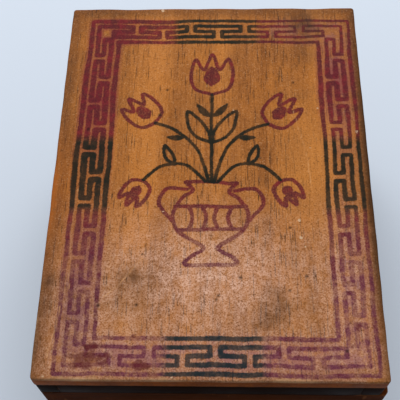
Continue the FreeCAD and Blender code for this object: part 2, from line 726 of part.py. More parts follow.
def least_coil_gap(turns, steps=48):
    """Least gap between turns of the wire, measured on points half a turn or more apart."""
    points = [coil_point(step / steps) for step in range(turns * steps + 1)]
    far_pairs = ((near, far) for near in range(len(points)) for far in range(near + steps // 2, len(points)))
    return min((points[near] - points[far]).Length for near, far in far_pairs) - 2 * number("wire_radius")


def staple(turn, into):
    """Staple over the wire after a number of turns, with its legs into a disc (1 up, -1 down)."""
    centre = coil_point(turn)
    outward = Vector(centre.x, centre.y, 0).normalize()
    into_disc = Vector(0, 0, into)
    over = number("wire_radius + staple_gap + staple_radius")
    legs = number("wire_radius + spring_seat + staple_depth")
    left = centre - outward * over
    right = centre + outward * over
    crown = centre - into_disc * over
    edges = [
        Part.LineSegment(left + into_disc * legs, left).toShape(),
        arc_from(left, -into_disc, crown),
        arc_from(crown, outward, right),
        Part.LineSegment(right, right + into_disc * legs).toShape(),
    ]
    return tube(edges, number("staple_radius"))


def staples(name, places, into):
    """Group of staples after these numbers of turns."""
    return keep(feature(name, Part.Compound([staple(turn, into) for turn in places]), "coil_low_z"))


def spring_and_discs(screw):
    """Base disc, spring and cap disc, each disc with the staples that hold an end turn."""
    turns = spring_turns()
    low = staples("base_staples", (0.1, 0.4, 0.7), -1)
    high = staples("cap_staples", (turns - 0.7, turns - 0.4, turns - 0.1), 1)
    keep(cut("base_disc", disc("base_disc_blank", "floor_thickness", "base_top_z"), low, screw))
    pop_spring()
    peg = rod("cap_peg_room", "z", "neck_radius", ("cap_top_z - peg_seat", f"cap_top_z + {PAST}"), ("0", "0"))
    keep(cut("cap_disc", disc("cap_disc_blank", "cap_z", "cap_top_z"), high, peg))


# Cloth sleeve and its tapes
def sleeve():
    """Cloth tube round the spring, folded like a concertina between the two discs."""
    inner = number("sleeve_inner_radius")
    thickness = number("sleeve_thickness")
    low = number("floor_thickness + binding_inset")
    high = number("cap_top_z - binding_inset")
    first = number("base_top_z + fold_margin")
    last = number("cap_z - fold_margin")
    folds = round((last - first) / number("fold_pitch"))
    pitch = (last - first) / folds
    inside = [(inner, low), (inner, first)]
    for fold in range(folds):
        inside.append((inner + number("fold_depth"), first + (fold + 0.5) * pitch))
        inside.append((inner, first + (fold + 1) * pitch))
    inside.append((inner, high))
    outline = inside + [(radius + thickness, height) for radius, height in reversed(inside)]
    corners = [Vector(radius, 0, height - low) for radius, height in outline]
    face = Part.Face(Part.makePolygon(corners + corners[:1]))
    shape = face.revolve(Vector(), Vector(0, 0, 1), 360)
    keep(feature("jack_sleeve", shape, "floor_thickness + binding_inset"))


def bindings():
    """Tapes that tie the ends of the sleeve to the discs."""
    radii = ("binding_inner_radius", "binding_radius")
    low = "floor_thickness + binding_inset"
    keep(ring("lower_binding", radii, (low, f"{low} + binding_width")))
    high = "cap_top_z - binding_inset"
    keep(ring("upper_binding", radii, (f"{high} - binding_width", high)))


# Jester's head, hat and arms
def head():
    """Turned head on its neck peg, with a bead for a nose."""
    peg_span = ("cap_top_z - peg_seat", "head_low_z + peg_depth")
    peg = keep(rod("neck_peg", "z", "neck_radius", peg_span, ("0", "0")))
    sphere = ball("head_ball", "head_radius", ("0", "0", "head_z"))
    keep(cut("jack_head", sphere, peg))
    bead = ball("nose_bead", "nose_radius", ("0", "-head_radius - nose_reach", "head_z - nose_drop"))
    keep(cut("jack_nose", bead, sphere))


def ruff():
    """Stiff cloth collar that rises towards its edge."""
    inner = "neck_radius + cloth_gap"
    low = "cap_top_z + cloth_gap"
    lifted = f"{low} + ruff_lift"
    points = [
        (inner, low), ("ruff_flat", low), ("ruff_radius", lifted),
        ("ruff_radius", f"{lifted} + ruff_thickness"), ("ruff_flat", f"{low} + ruff_thickness"),
        (inner, f"{low} + ruff_thickness"),
    ]
    keep(turned("jack_ruff", points))


def hat_crown():
    """Felt cap over the top of the head."""
    outer = ball("crown_outer", "hat_radius", ("0", "0", "head_z"))
    inner = ball("crown_inner", "(head_radius + cloth_gap)", ("0", "0", "head_z"))
    below = rod("crown_below", "z", f"(hat_radius + {PAST})",
                ("head_z - hat_radius", "head_z + hat_rise"), ("0", "0"))
    keep(cut("hat_crown", outer, inner, below))


def point_place(turn_angle):
    """Middle and direction of a hat point after a bend, from the middle of the head, in X and Z."""
    root = math.radians(number("point_root_angle"))
    lean = math.radians(number("point_lean"))
    now = lean - math.radians(turn_angle)
    reach = number("hat_radius - point_root_depth")
    bend = number("point_bend_radius")
    x = reach * math.cos(root) + bend * (math.sin(lean) - math.sin(now))
    z = reach * math.sin(root) + bend * (math.cos(now) - math.cos(lean))
    return Vector(x, 0, z), Vector(math.cos(now), 0, math.sin(now))


def hat_point(side, sign):
    """Soft tapered point that leans out from the crown and droops; returns the point and its tip."""
    whole = number("point_turn")
    root_radius = number("point_root_radius")
    taper = number("point_tip_radius") - root_radius
    circles = []
    for share in POINT_SHARES:
        middle, direction = point_place(whole * share)
        middle.x *= sign
        direction.x *= sign
        circles.append(Part.Wire(Part.Circle(middle, direction, root_radius + taper * share).toShape()))
    blank = feature(f"hat_point_{side}_blank", Part.makeLoft(circles, True, False), "head_z")
    crown = ball(f"hat_point_{side}_seat", "(hat_radius + cloth_gap)", ("0", "0", "head_z"))
    return keep(cut(f"hat_point_{side}", blank, crown))


def hat_bells(points):
    """Round bells over the tips of the hat points."""
    tip, direction = point_place(number("point_turn"))
    centre = tip + direction * number("bell_radius - bell_overlap")
    bells = []
    for sign, point in points:
        shape = Part.makeSphere(number("bell_radius"), Vector(sign * centre.x, 0, centre.z))
        sphere = feature("hat_bell_ball", shape, "head_z")
        bells.append(cut("hat_bell", sphere, point))
    keep(group("hat_bells", bells))


def arm(side, sign):
    """Stuffed arm that reaches out from the shoulder, with a mitten hand over its wrist."""
    turn = Rotation(Vector(0, 1, 0), sign * (90 + number("arm_drop_angle")))
    limb = doc.addObject("Part::Cone", f"{side}_arm_blank")
    bind(limb, "Radius1", "arm_root_radius")
    bind(limb, "Radius2", "arm_wrist_radius")
    bind(limb, "Height", "palm_reach - hand_radius + hand_overlap")
    limb.Placement = Placement(Vector(), turn)
    bind(limb, "Placement.Base.x", f"{sign} * disc_radius")
    bind(limb, "Placement.Base.z", "cap_z + arm_rise")
    seat = rod(f"{side}_arm_seat", "z", "shoulder_radius", ("cap_z - palm_reach", "head_z"), ("0", "0"))
    sleeve_arm = keep(cut(f"{side}_arm", limb, seat))
    palm = turn.multVec(Vector(0, 0, number("palm_reach")))
    palm += Vector(sign * number("disc_radius"), 0, number("arm_rise"))
    mitten = feature(f"{side}_hand_ball", Part.makeSphere(number("hand_radius"), palm), "cap_z")
    keep(cut(f"{side}_hand", mitten, sleeve_arm))


def jester():
    """Everything that rides on top of the spring."""
    head()
    ruff()
    hat_crown()
    points = []
    for side, sign in SIDES.items():
        points.append((sign, hat_point(side, sign)))
        arm(side, sign)
    hat_bells(points)


# Assembly
wall_nails = wall_brads()
floor_nails = floor_brads()
screw_in_base = base_screw()
back_tools, rim_back_tools = hinges()
front_tools, rim_front_tools = catch()
floor_board(floor_nails, screw_in_base)
box_walls(wall_nails, floor_nails, back_tools, front_tools)
lid_board()
lid_rim(rim_back_tools, rim_front_tools)
spring_and_discs(screw_in_base)
sleeve()
bindings()
jester()
doc.recompute()

# Every object has to be sound before anything is written
for item in doc.Objects:
    if "Invalid" in item.State or "Error" in item.State:
        raise RuntimeError(f"{item.Label} failed: {item.State}")
for item in subparts:
    if item.Shape.isNull() or not item.Shape.isValid() or not item.Shape.Solids:
        raise RuntimeError(f"{item.Label} is not a sound solid")

os.makedirs("parts", exist_ok=True)
for item in subparts:
    item.Shape.exportStep(f"parts/{item.Label}.step")
    print(f"{item.Label}: {len(item.Shape.Solids)} solids, {item.Shape.Volume:.1f} mm3")
print(len(subparts), "sub-parts")
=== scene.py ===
# %% [markdown]
# # A toy box with a sprung jester
# This lesson dresses the measured parts of a small old wooden box. Its lid carries a printed key border,
# and a jester on a coil spring waits under it. The measured model is the frame: every new piece is made
# in the same metres and sits where the frame says, and most ride on one of its bodies.

# %% Load the frame
import bpy
import math
import numpy as np
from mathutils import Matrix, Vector, noise


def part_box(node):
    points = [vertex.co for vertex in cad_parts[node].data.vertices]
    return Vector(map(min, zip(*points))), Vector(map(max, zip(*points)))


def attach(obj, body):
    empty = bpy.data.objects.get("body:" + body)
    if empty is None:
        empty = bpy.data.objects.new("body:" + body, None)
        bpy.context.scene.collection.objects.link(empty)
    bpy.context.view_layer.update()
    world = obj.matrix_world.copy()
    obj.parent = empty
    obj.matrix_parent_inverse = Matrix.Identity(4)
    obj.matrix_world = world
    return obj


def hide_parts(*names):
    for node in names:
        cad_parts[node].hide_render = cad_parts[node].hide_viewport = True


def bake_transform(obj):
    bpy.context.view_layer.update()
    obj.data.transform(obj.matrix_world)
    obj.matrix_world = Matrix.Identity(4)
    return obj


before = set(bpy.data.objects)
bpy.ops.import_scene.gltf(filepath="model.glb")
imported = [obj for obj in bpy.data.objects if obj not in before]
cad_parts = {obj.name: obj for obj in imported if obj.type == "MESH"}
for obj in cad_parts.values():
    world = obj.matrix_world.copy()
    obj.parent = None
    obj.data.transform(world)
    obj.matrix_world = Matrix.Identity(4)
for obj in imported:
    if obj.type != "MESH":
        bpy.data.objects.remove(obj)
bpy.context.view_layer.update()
MM = 0.001

# %% [markdown]
# ## Camera
# The picture to match looks down on the lid from the front, at about 59 degrees. A camera can be aimed by
# eye or made to track a point. Here its place, turn and lens were fitted to the four corners of the lid, so
# that the edges of the board fall where they should. Operators act on all that is selected, so this step,
# like every later one, first selects nothing.


# %% Camera
def deselect():
    """Nothing selected, object mode."""
    if bpy.context.object and bpy.context.object.mode != "OBJECT":
        bpy.ops.object.mode_set(mode="OBJECT")
    bpy.ops.object.select_all(action="DESELECT")


LID_LOW, LID_HIGH = (Vector(corner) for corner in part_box("lid_board"))
LID_MIDDLE = Vector(((LID_LOW.x + LID_HIGH.x) / 2, (LID_LOW.y + LID_HIGH.y) / 2, LID_HIGH.z))
LID_WIDTH = LID_HIGH.x - LID_LOW.x
CAMERA_OFFSET_IN_LID_WIDTHS = Vector((0.0353, -1.2591, 2.1323))
CAMERA_TURN_DEGREES = (28.416, 1.556, 0.161)
LENS = 70.4
SENSOR = 36
deselect()
bpy.ops.object.camera_add(location=LID_MIDDLE + CAMERA_OFFSET_IN_LID_WIDTHS * LID_WIDTH)
camera = bpy.context.object
camera.rotation_mode = "YXZ"
camera.rotation_euler = [math.radians(angle) for angle in CAMERA_TURN_DEGREES]
camera.data.lens = LENS
camera.data.sensor_width = SENSOR
camera.data.clip_start = 0.01
camera.data.clip_end = 10
bpy.context.scene.camera = camera
bpy.context.scene.view_settings.view_transform = "Standard"
print("camera at", [round(value, 4) for value in camera.location])

# %% [markdown]
# ## Colours
# A shader wants linear values, which are hard to picture. So every colour of wood, ink, metal or cloth is
# written as in a paint program, from 0 to 255, and turned into linear values by the usual formula.


# %% Colours
def paint(red, green, blue):
    """Linear colour from the 0 to 255 values of a paint program."""
    def linear(value):
        share = value / 255
        return share / 12.92 if share <= 0.04045 else ((share + 0.055) / 1.055) ** 2.4
    return (linear(red), linear(green), linear(blue), 1.0)


print("a mid grey in linear values:", round(paint(128, 128, 128)[0], 3))

# %% [markdown]
# ## Words for materials
# A finish is a tree of nodes. It can be clicked together by hand or linked line by line. The same few nodes
# come back in every finish here, so a small class gives each of them one short word, which takes either a
# number or another node's output.


# %% Words for materials
class Recipe:
    """Short words for adding nodes to one tree."""

    def __init__(self, tree):
        self.tree = tree

    def add(self, kind, **settings):
        node = self.tree.nodes.new(kind)
        for name, value in settings.items():
            setattr(node, name, value)
        return node

    def feed(self, socket, value):
        if isinstance(value, bpy.types.NodeSocket):
            self.tree.links.new(value, socket)
        else:
            socket.default_value = value

    def fill(self, node, values):
        for key, value in values.items():
            self.feed(node.inputs[key], value)
        return node

    def math(self, operation, first, second=0.0):
        node = self.add("ShaderNodeMath", operation=operation)
        return self.fill(node, {0: first, 1: second}).outputs[0]

    def times(self, first, second):
        return self.math("MULTIPLY", first, second)

    def plus(self, first, second):
        return self.math("ADD", first, second)

    def minus(self, first, second):
        return self.math("SUBTRACT", first, second)

    def fade(self, value, low, high, out_low=0.0, out_high=1.0):
        node = self.add("ShaderNodeMapRange", interpolation_type="SMOOTHSTEP")
        return self.fill(node, {0: value, 1: low, 2: high, 3: out_low, 4: out_high}).outputs[0]

    def mix(self, share, first, second):
        node = self.add("ShaderNodeMix", data_type="RGBA")
        return self.fill(node, {0: share, 6: first, 7: second}).outputs[2]

    def noise(self, vector, scale, detail=2.0, roughness=0.5):
        node = self.add("ShaderNodeTexNoise")
        values = {"Vector": vector, "Scale": scale, "Detail": detail, "Roughness": roughness}
        return self.fill(node, values).outputs[0]

    def place(self):
        return self.add("ShaderNodeTexCoord").outputs["Object"]

    def split(self, vector):
        return self.fill(self.add("ShaderNodeSeparateXYZ"), {0: vector}).outputs


print("words:", ", ".join(word for word in vars(Recipe) if not word.startswith("_")))

# %% [markdown]
# A new material starts with one Principled shader, which can be paper, wood, metal or cloth. These two
# helpers make it and put it on a piece. An operator that adds a piece leaves it active, so a third helper
# names the piece and its mesh.


# %% Start a material
def new_material(name):
    """Material with an empty Principled shader; returns the material, its recipe and the shader."""
    material = bpy.data.materials.new(name)
    material.use_nodes = True
    material.node_tree.nodes.clear()
    recipe = Recipe(material.node_tree)
    shader = recipe.add("ShaderNodeBsdfPrincipled")
    output = recipe.add("ShaderNodeOutputMaterial")
    recipe.feed(output.inputs["Surface"], shader.outputs[0])
    return material, recipe, shader


def wear(piece, material):
    """Gives a piece one material."""
    piece.data.materials.clear()
    piece.data.materials.append(material)
    return piece


def named(name):
    """Names the piece that an operator has just added, and its mesh."""
    piece = bpy.context.object
    piece.name = name
    piece.data.name = name
    return piece


print("materials so far:", len(bpy.data.materials))

# %% [markdown]
# ## Floor
# The box stands on plain pale paper. A studio would hang a curved sweep behind it, but the camera looks down,
# so one flat plane is enough. A slow noise between two close tones keeps it from looking like a screen.

# %% Floor
FLOOR_SIZE = 3
FLOOR_TONES = (paint(203, 212, 224), paint(216, 225, 237))
deselect()
bpy.ops.mesh.primitive_plane_add(size=FLOOR_SIZE)
floor = named("studio_floor")
floor_material, recipe, shader = new_material("pale paper")
drift = recipe.noise(recipe.place(), 3.0, 3.0)
recipe.fill(shader, {"Base Color": recipe.mix(drift, *FLOOR_TONES), "Roughness": 0.8})
wear(floor, floor_material)
print("floor", FLOOR_SIZE, "m wide")

# %% [markdown]
# ## Light
# The light comes from behind and above, as from a window, and leaves the front of the box in its own shade.
# A sun would give hard shadows and a point lamp a bright spot, so one wide area lamp is used.

# %% Lamp
LAMP_PLACE = (-0.03, 0.60, 0.75)
LAMP_AIM = Vector((0, 0, 0.05))
LAMP_SIZE = (0.9, 0.7)
LAMP_WATTS = 9.5
deselect()
bpy.ops.object.light_add(type="AREA", location=LAMP_PLACE)
lamp = bpy.context.object
lamp.data.shape = "RECTANGLE"
lamp.data.size, lamp.data.size_y = LAMP_SIZE
lamp.data.energy = LAMP_WATTS
lamp.rotation_euler = (LAMP_AIM - lamp.location).to_track_quat("-Z", "Y").to_euler()
print("lamp of", LAMP_WATTS, "W, in metres:", LAMP_SIZE)

# %% [markdown]
# The sky fills the shadows with a little cool light. A picture of a room could do that, but a plain colour
# needs no file. Light Path tells the rays apart, so that the camera and shiny metal see a brighter sky than
# the one that lights the box.

# %% Sky
SKY_COLOUR = (0.90, 0.95, 1.0, 1.0)
SKY_AS_LIGHT, SKY_AS_SEEN = 0.32, 0.60
world = bpy.data.worlds.new("studio")
bpy.context.scene.world = world
world.use_nodes = True
world.node_tree.nodes.clear()
recipe = Recipe(world.node_tree)
rays = recipe.add("ShaderNodeLightPath").outputs
seen = recipe.math("MAXIMUM", rays["Is Camera Ray"], rays["Is Glossy Ray"])
seen = recipe.math("MAXIMUM", seen, rays["Is Transmission Ray"])
strength = recipe.fade(seen, 0.0, 1.0, SKY_AS_LIGHT, SKY_AS_SEEN)
sky = recipe.fill(recipe.add("ShaderNodeBackground"), {"Color": SKY_COLOUR, "Strength": strength})
recipe.feed(recipe.add("ShaderNodeOutputWorld").inputs["Surface"], sky.outputs[0])
print("sky strength", SKY_AS_LIGHT, "as light,", SKY_AS_SEEN, "as seen")

# %% [markdown]
# ## The printed lid
# The lid is one varnished board with its grain from front to back. A cube with a bevel would do for the
# shape, but the print needs fine points on the top. So the board starts as a dense grid, the size of the
# top without its rounded edge.


# %% Grid for the top of the lid
def take(piece):
    """Makes one piece the only selected and active one."""
    deselect()
    piece.select_set(True)
    bpy.context.view_layer.objects.active = piece
    return piece


def settle(piece):
    """Writes a piece's place, turn and scale into its mesh."""
    take(piece)
    bpy.ops.object.transform_apply(location=True, rotation=True, scale=True)
    return piece


TOP_GRID = (232, 312)
EDGE_ROUND = 0.4 * MM
half = Vector((LID_WIDTH / 2, (LID_HIGH.y - LID_LOW.y) / 2, 0))
deselect()
bpy.ops.mesh.primitive_grid_add(x_subdivisions=TOP_GRID[0], y_subdivisions=TOP_GRID[1], size=2,
                                location=LID_MIDDLE)
lid = named("printed_lid_board")
lid.scale = (half.x - EDGE_ROUND, half.y - EDGE_ROUND, 1)
settle(lid)
print("faces on the top:", len(lid.data.polygons))

# %% [markdown]
# Most shaping is done in edit mode, where the operators work on what is selected. Two helpers go in and out
# of it, and the second also turns all faces outwards, so that no piece is left inside out. Two more read the
# points of a piece and print how large it has become.


# %% Edit mode and measures
def edit(piece):
    """Opens one piece in edit mode with everything selected."""
    take(piece)
    bpy.ops.object.mode_set(mode="EDIT")
    bpy.ops.mesh.select_all(action="SELECT")


def close(piece):
    """Turns all faces outwards and leaves edit mode."""
    bpy.ops.mesh.select_all(action="SELECT")
    bpy.ops.mesh.normals_make_consistent(inside=False)
    bpy.ops.object.mode_set(mode="OBJECT")
    return piece


def points_of(piece):
    """A piece's vertices as an array."""
    flat = np.empty(len(piece.data.vertices) * 3)
    piece.data.vertices.foreach_get("co", flat)
    return flat.reshape(-1, 3)


def measure(piece):
    """Prints a piece's size in millimetres and its faces."""
    size = np.ptp(points_of(piece), axis=0) / MM
    print(f"{piece.name}: {size[0]:.1f} x {size[1]:.1f} x {size[2]:.1f} mm, {len(piece.data.polygons)} faces")


measure(lid)

# %% [markdown]
# The edges of the board are soft from handling. The rim of the grid is extruded in small steps, out and
# down on a quarter circle, then straight down, and closed underneath. That gives the round edge just where
# it is wanted, which a Bevel modifier would not do on so dense a grid.

# %% Rounded edge of the lid
ROUND_STEPS = 4
SIDE_STEP = 2.4 * MM
angles = [math.radians(90 * step / ROUND_STEPS) for step in range(ROUND_STEPS + 1)]
outs = [EDGE_ROUND * math.sin(angle) for angle in angles] + [EDGE_ROUND, EDGE_ROUND]
drops = [EDGE_ROUND * (1 - math.cos(angle)) for angle in angles] + [SIDE_STEP, LID_HIGH.z - LID_LOW.z]
edit(lid)
bpy.ops.mesh.region_to_loop()
for step in range(1, len(outs)):
    down = drops[step - 1] - drops[step]
    bpy.ops.mesh.extrude_edges_move(TRANSFORM_OT_translate={"value": (0, 0, down)})
    before, after = outs[step - 1] - EDGE_ROUND, outs[step] - EDGE_ROUND
    grow = ((half.x + after) / (half.x + before), (half.y + after) / (half.y + before), 1)
    bpy.ops.transform.resize(value=grow, center_override=LID_MIDDLE)
bpy.ops.mesh.edge_face_add()
measure(close(lid))

# %% [markdown]
# The corners are still square in plan. A boolean could cut them, but it would upset the grid. Instead each
# corner patch is drawn in, so that its square outline becomes a quarter circle and every point stays.

# %% Round corners of the lid
CORNER_ROUND = 0.8 * MM
local = points_of(lid) - np.array(LID_MIDDLE)
straight = np.array(half[:2]) - CORNER_ROUND
over = np.abs(local[:, :2]) - straight
corner = (over > 0).all(axis=1)
reach = over[corner].max(axis=1) / np.linalg.norm(over[corner], axis=1)
local[corner, :2] = np.sign(local[corner, :2]) * (straight + over[corner] * reach[:, None])
print("corner points drawn in:", int(corner.sum()))

# %% [markdown]
# Then the hand of time. A sculpting brush could do this, but a noise gives the same dents on every run. A
# slow noise leaves faint dents on the top, and another one sinks the edges here and there. The distance to
# the edge is kept, because the finish needs it too.


# %% Dents and rubbed edges of the lid
def move_points(piece, points):
    """Puts a piece's vertices where an array says."""
    piece.data.vertices.foreach_set("co", np.asarray(points, dtype=np.float32).ravel())
    piece.data.update()


def smooth(piece, degrees):
    """Smooth shading, apart from edges sharper than an angle."""
    take(piece)
    bpy.ops.object.shade_smooth_by_angle(angle=math.radians(degrees))
    return piece


# Each noise of the dents has a depth in millimetres and a number of waves per millimetre.
DENT_NOISES = ((0.03, 0.09), (0.015, 0.35))
RUB_RATE, RUB_SHIFT = 0.13, Vector((7, 3, 1))
RUB_BASE, RUB_SWING = 0.15, 0.5
RUB_WIDTH, RUB_DROP, RUB_IN = 1.6, 0.4, 0.25
TOP_REACH, SIDE_REACH = 2 * MM, 1.2 * MM
edge_gap = np.minimum(half.x - np.abs(local[:, 0]), half.y - np.abs(local[:, 1])) / MM
edge_gap = np.clip(edge_gap, 0, None)
for index in np.nonzero(local[:, 2] > -TOP_REACH)[0]:
    spot = Vector(local[index] / MM)
    dent = sum(depth * noise.noise(spot * rate) for depth, rate in DENT_NOISES)
    rubbed = max(0.0, RUB_BASE + RUB_SWING * noise.noise(spot * RUB_RATE + RUB_SHIFT))
    rubbed *= max(0.0, 1 - edge_gap[index] / RUB_WIDTH)
    local[index, 2] += (min(dent, 0.0) - RUB_DROP * rubbed) * MM
    near_edge = np.array(half[:2]) - np.abs(local[index, :2]) < SIDE_REACH
    local[index, :2] -= np.sign(local[index, :2]) * near_edge * RUB_IN * rubbed * MM
move_points(lid, local + np.array(LID_MIDDLE))
smooth(lid, 50)
measure(lid)

# %% [markdown]
# ## The print
# The print is a set of lines with a width. It could be a picture on the board, but a picture has a fixed
# sharpness and would be one more file. Here the code measures how far every point of the board lies from the
# nearest line and stores that on the mesh. The finish later cuts the line out of this distance, with a
# ragged edge where the colour has bled into the grain.


# %% Distance to drawn lines
def distance_to(points, lines):
    """Least distance from points to open lines, each a list of places."""
    nearest = np.full(len(points), 1e9)
    for line in lines:
        for start, end in zip(np.array(line[:-1], dtype=float), np.array(line[1:], dtype=float)):
            along = end - start
            share = np.clip((points - start) @ along / max(along @ along, 1e-9), 0, 1)
            gap = points - start - share[:, None] * along
            nearest = np.minimum(nearest, np.hypot(gap[:, 0], gap[:, 1]))
    return nearest


def inside(points, outline):
    """Which points lie inside a closed outline."""
    result = np.zeros(len(points), dtype=bool)
    x, y = points.T
    for (ax, ay), (bx, by) in zip(outline, outline[1:] + outline[:1]):
        crosses = (ay > y) != (by > y)
        slope = (bx - ax) / (by - ay) if by != ay else 0.0
        result ^= crosses & (x < ax + (y - ay) * slope)
    return result


flat = (points_of(lid) - np.array(LID_MIDDLE))[:, :2] / MM
print("points to measure:", len(flat))

# %% [markdown]
# The border is a common running key: two frame lines with one bent line between them that never stops. It
# sits a little off the middle of the board. Its levels are shares of the way from the outer frame line to
# the inner one, so the key fits whatever the two frames are.

# %% Frames of the border
FRAME_OUTER = (-33.0, -49.8, 35.8, 46.5)
FRAME_INNER = (-25.0, -42.0, 27.7, 39.4)


def frame_level(share):
    """Rectangle between the outer frame line (0) and the inner one (1)."""
    return [outer + (inner - outer) * share for outer, inner in zip(FRAME_OUTER, FRAME_INNER)]


def box_line(left, low, right, high):
    """Closed rectangle as a line."""
    return [(left, low), (right, low), (right, high), (left, high), (left, low)]


print("width of the border:", FRAME_INNER[0] - FRAME_OUTER[0], "mm")

# %% [markdown]
# The bent line runs along the outer level, climbs, turns back, climbs again and runs on along the inner
# level. Drawn by hand it would take more than a hundred corners. A rule does it: the number of turns comes
# from the length of the side, and the bars are stretched a little, so that the run ends just at the corner.
# A step is one whole turn, a bar turns back on itself, and a corner cuts a little off the first bar.

# %% Key of the border
KEY_STEP = 14.3
KEY_BACK = 5.0
KEY_CUT = 2.6
KEY_ENDS = 0.45
LOW_LEVEL, MIDDLE_LEVEL, HIGH_LEVEL = 0.25, 0.5, 0.75


def key_run(length):
    """Bent line along one side: places along it, each with its level across the border."""
    turns = round(length / KEY_STEP - KEY_ENDS)
    bar = (length + 2 * turns * KEY_BACK + 2 * KEY_CUT) / (2 * turns + 1)
    half_step = bar - KEY_BACK
    run = [(0.0, LOW_LEVEL)]
    start = -KEY_CUT
    for level in [HIGH_LEVEL, LOW_LEVEL] * turns:
        run += [(start + bar, run[-1][1]), (start + bar, MIDDLE_LEVEL)]
        run += [(start + half_step, MIDDLE_LEVEL), (start + half_step, level)]
        start += half_step
    return run + [(length, LOW_LEVEL)]


def key_line():
    """The whole bent line, once round the border."""
    left, low, right, high = frame_level(LOW_LEVEL)
    line = [(left + along, frame_level(level)[1]) for along, level in key_run(right - left)]
    line += [(frame_level(level)[2], low + along) for along, level in key_run(high - low)]
    line += [(right - along, frame_level(level)[3]) for along, level in key_run(right - left)]
    line += [(frame_level(level)[0], high - along) for along, level in key_run(high - low)]
    return line


border_lines = [box_line(*FRAME_OUTER), box_line(*FRAME_INNER), key_line()]
print("border corners:", sum(len(line) for line in border_lines))

# %% [markdown]
# The middle of the lid carries a folk bouquet: a two-handled vase with tulips, in the same two inks. Each
# outline is a smooth curve through a few places, so that it stays short and can be changed by hand.


# %% Outlines of the bouquet
def curve(places, steps=8):
    """Smooth line through places."""
    ends = [np.array(place, dtype=float) for place in [places[0], *places, places[-1]]]
    line = []
    for first, start, end, last in zip(ends, ends[1:], ends[2:], ends[3:]):
        for step in range(steps):
            share = step / steps
            pull = (end - first) * share + (2 * first - 5 * start + 4 * end - last) * share * share
            line.append(tuple(0.5 * (2 * start + pull + (3 * start - first - 3 * end + last) * share ** 3)))
    return line + [tuple(places[-1])]


PETAL = curve([(0, -4), (-3.4, -2.6), (-4.3, 1.2), (-3.4, 5.0), (-1.6, 2.2), (0, 6.2),
               (1.6, 2.2), (3.4, 5.0), (4.3, 1.2), (3.4, -2.6), (0, -4)])
LEAF = curve([(0, 0), (2.0, 3.2), (2.2, 7.0), (0, 11.5), (-1.4, 7.0), (-1.3, 3.2), (0, 0)])
HEART = curve([(0, -1.8), (-1.5, -0.4), (-1.3, 1.5), (0, 3.0), (1.3, 1.5), (1.5, -0.4), (0, -1.8)])
VASE = curve([(0, -24.6), (5.6, -24.6), (5.2, -23.0), (2.0, -21.0), (2.4, -19.6), (7.4, -16.0), (8.8, -11.5),
              (6.6, -7.4), (4.2, -5.6), (6.2, -3.2)])
HANDLE = curve([(5.6, -5.2), (10.6, -5.0), (12.4, -9.0), (9.0, -13.4)])
SIDE_STEM = curve([(0.6, -3.2), (3.4, 6.0), (9.0, 11.6), (14.0, 13.6)])
LOW_STEM = curve([(1.4, -3.2), (6.0, 1.6), (12.0, 1.4), (16.4, -2.6)])
print("places on the vase's outline:", len(VASE))

# %% [markdown]
# Of most shapes only the right half is drawn. One petal outline, turned and scaled, makes all five flowers,
# and one leaf makes all the leaves. A mirror then gives the left half, as with a stencil that is flipped.


# %% Bouquet
def turned(places, middle, degrees, size):
    """Places turned and scaled about the origin, then moved to a middle."""
    cosine, sine = math.cos(math.radians(degrees)), math.sin(math.radians(degrees))
    return [(middle[0] + size * (x * cosine - y * sine), middle[1] + size * (x * sine + y * cosine))
            for x, y in places]


def both(lines):
    """Lines with their mirror images."""
    return lines + [[(-x, y) for x, y in line] for line in lines]


VASE_BANDS = [(6.2, -3.2), (7.7, -15.6), (8.4, -9.6)]
BAY = 3.2
side_tulip = turned(PETAL, (16.8, 16.6), -42, 1.0)
low_bud = turned(PETAL, (17.8, -5.4), -150, 0.72)
maroon_lines = both([VASE, HANDLE, side_tulip, low_bud]) + [turned(PETAL, (0, 27.5), 0, 1.25)]
maroon_lines += [[(-reach, height), (reach, height)] for reach, height in VASE_BANDS]
maroon_lines += both([curve([(1.8 + BAY * bay, -15.6), (0.9 + BAY * bay, -12.6), (1.8 + BAY * bay, -9.6)])
                      for bay in range(2)])
maroon_fills = [turned(HEART, (0, 27.3), 0, 1.35)]
maroon_fills += both([turned(HEART, (16.6, 16.4), -42, 1.05), turned(HEART, (17.8, -5.4), -150, 0.8)])
green_lines = both([SIDE_STEM, LOW_STEM, turned(LEAF, (0.2, 8.0), -32, 0.95),
                    turned(LEAF, (9.0, 1.9), -24, 0.5)])
green_lines += [[(0, -3.2), (0, 22.4)]]
green_fills = both([turned(LEAF, (0.2, 15.5), -42, 0.5), turned(LEAF, (6.2, 9.4), -88, 0.42)])
print("bouquet:", len(maroon_lines), "red lines,", len(green_lines), "green lines")

# %% [markdown]
# ### A stamp pressed by hand
# No old stamp prints evenly. The points are first nudged by two noises, so that straight lines waver. Then
# soft round patches say where the colour has bled into the wood and where the stamp was pressed harder. The
# patches are listed, each with a middle, a spread along X and Y, and a strength.


# %% Nudges and patches
def slow_noise(points, size, seed):
    """Noise of about a size in millimetres at flat points."""
    shift = Vector((seed * 13.7, seed * 5.1, seed * 9.3))
    return np.array([noise.noise(Vector((x, y, 0)) / size + shift) for x, y in points])


def hill(points, middle, spread):
    """Soft round patch: 1 in the middle, falling to 0 over a spread along X and Y."""
    return np.exp(-(((points - np.array(middle)) / np.array(spread)) ** 2).sum(axis=1))


def soft_patches(points, patches):
    """Sum of soft patches, each with a middle, a spread and a strength."""
    return sum(strength * hill(points, middle, spread) for middle, spread, strength in patches)


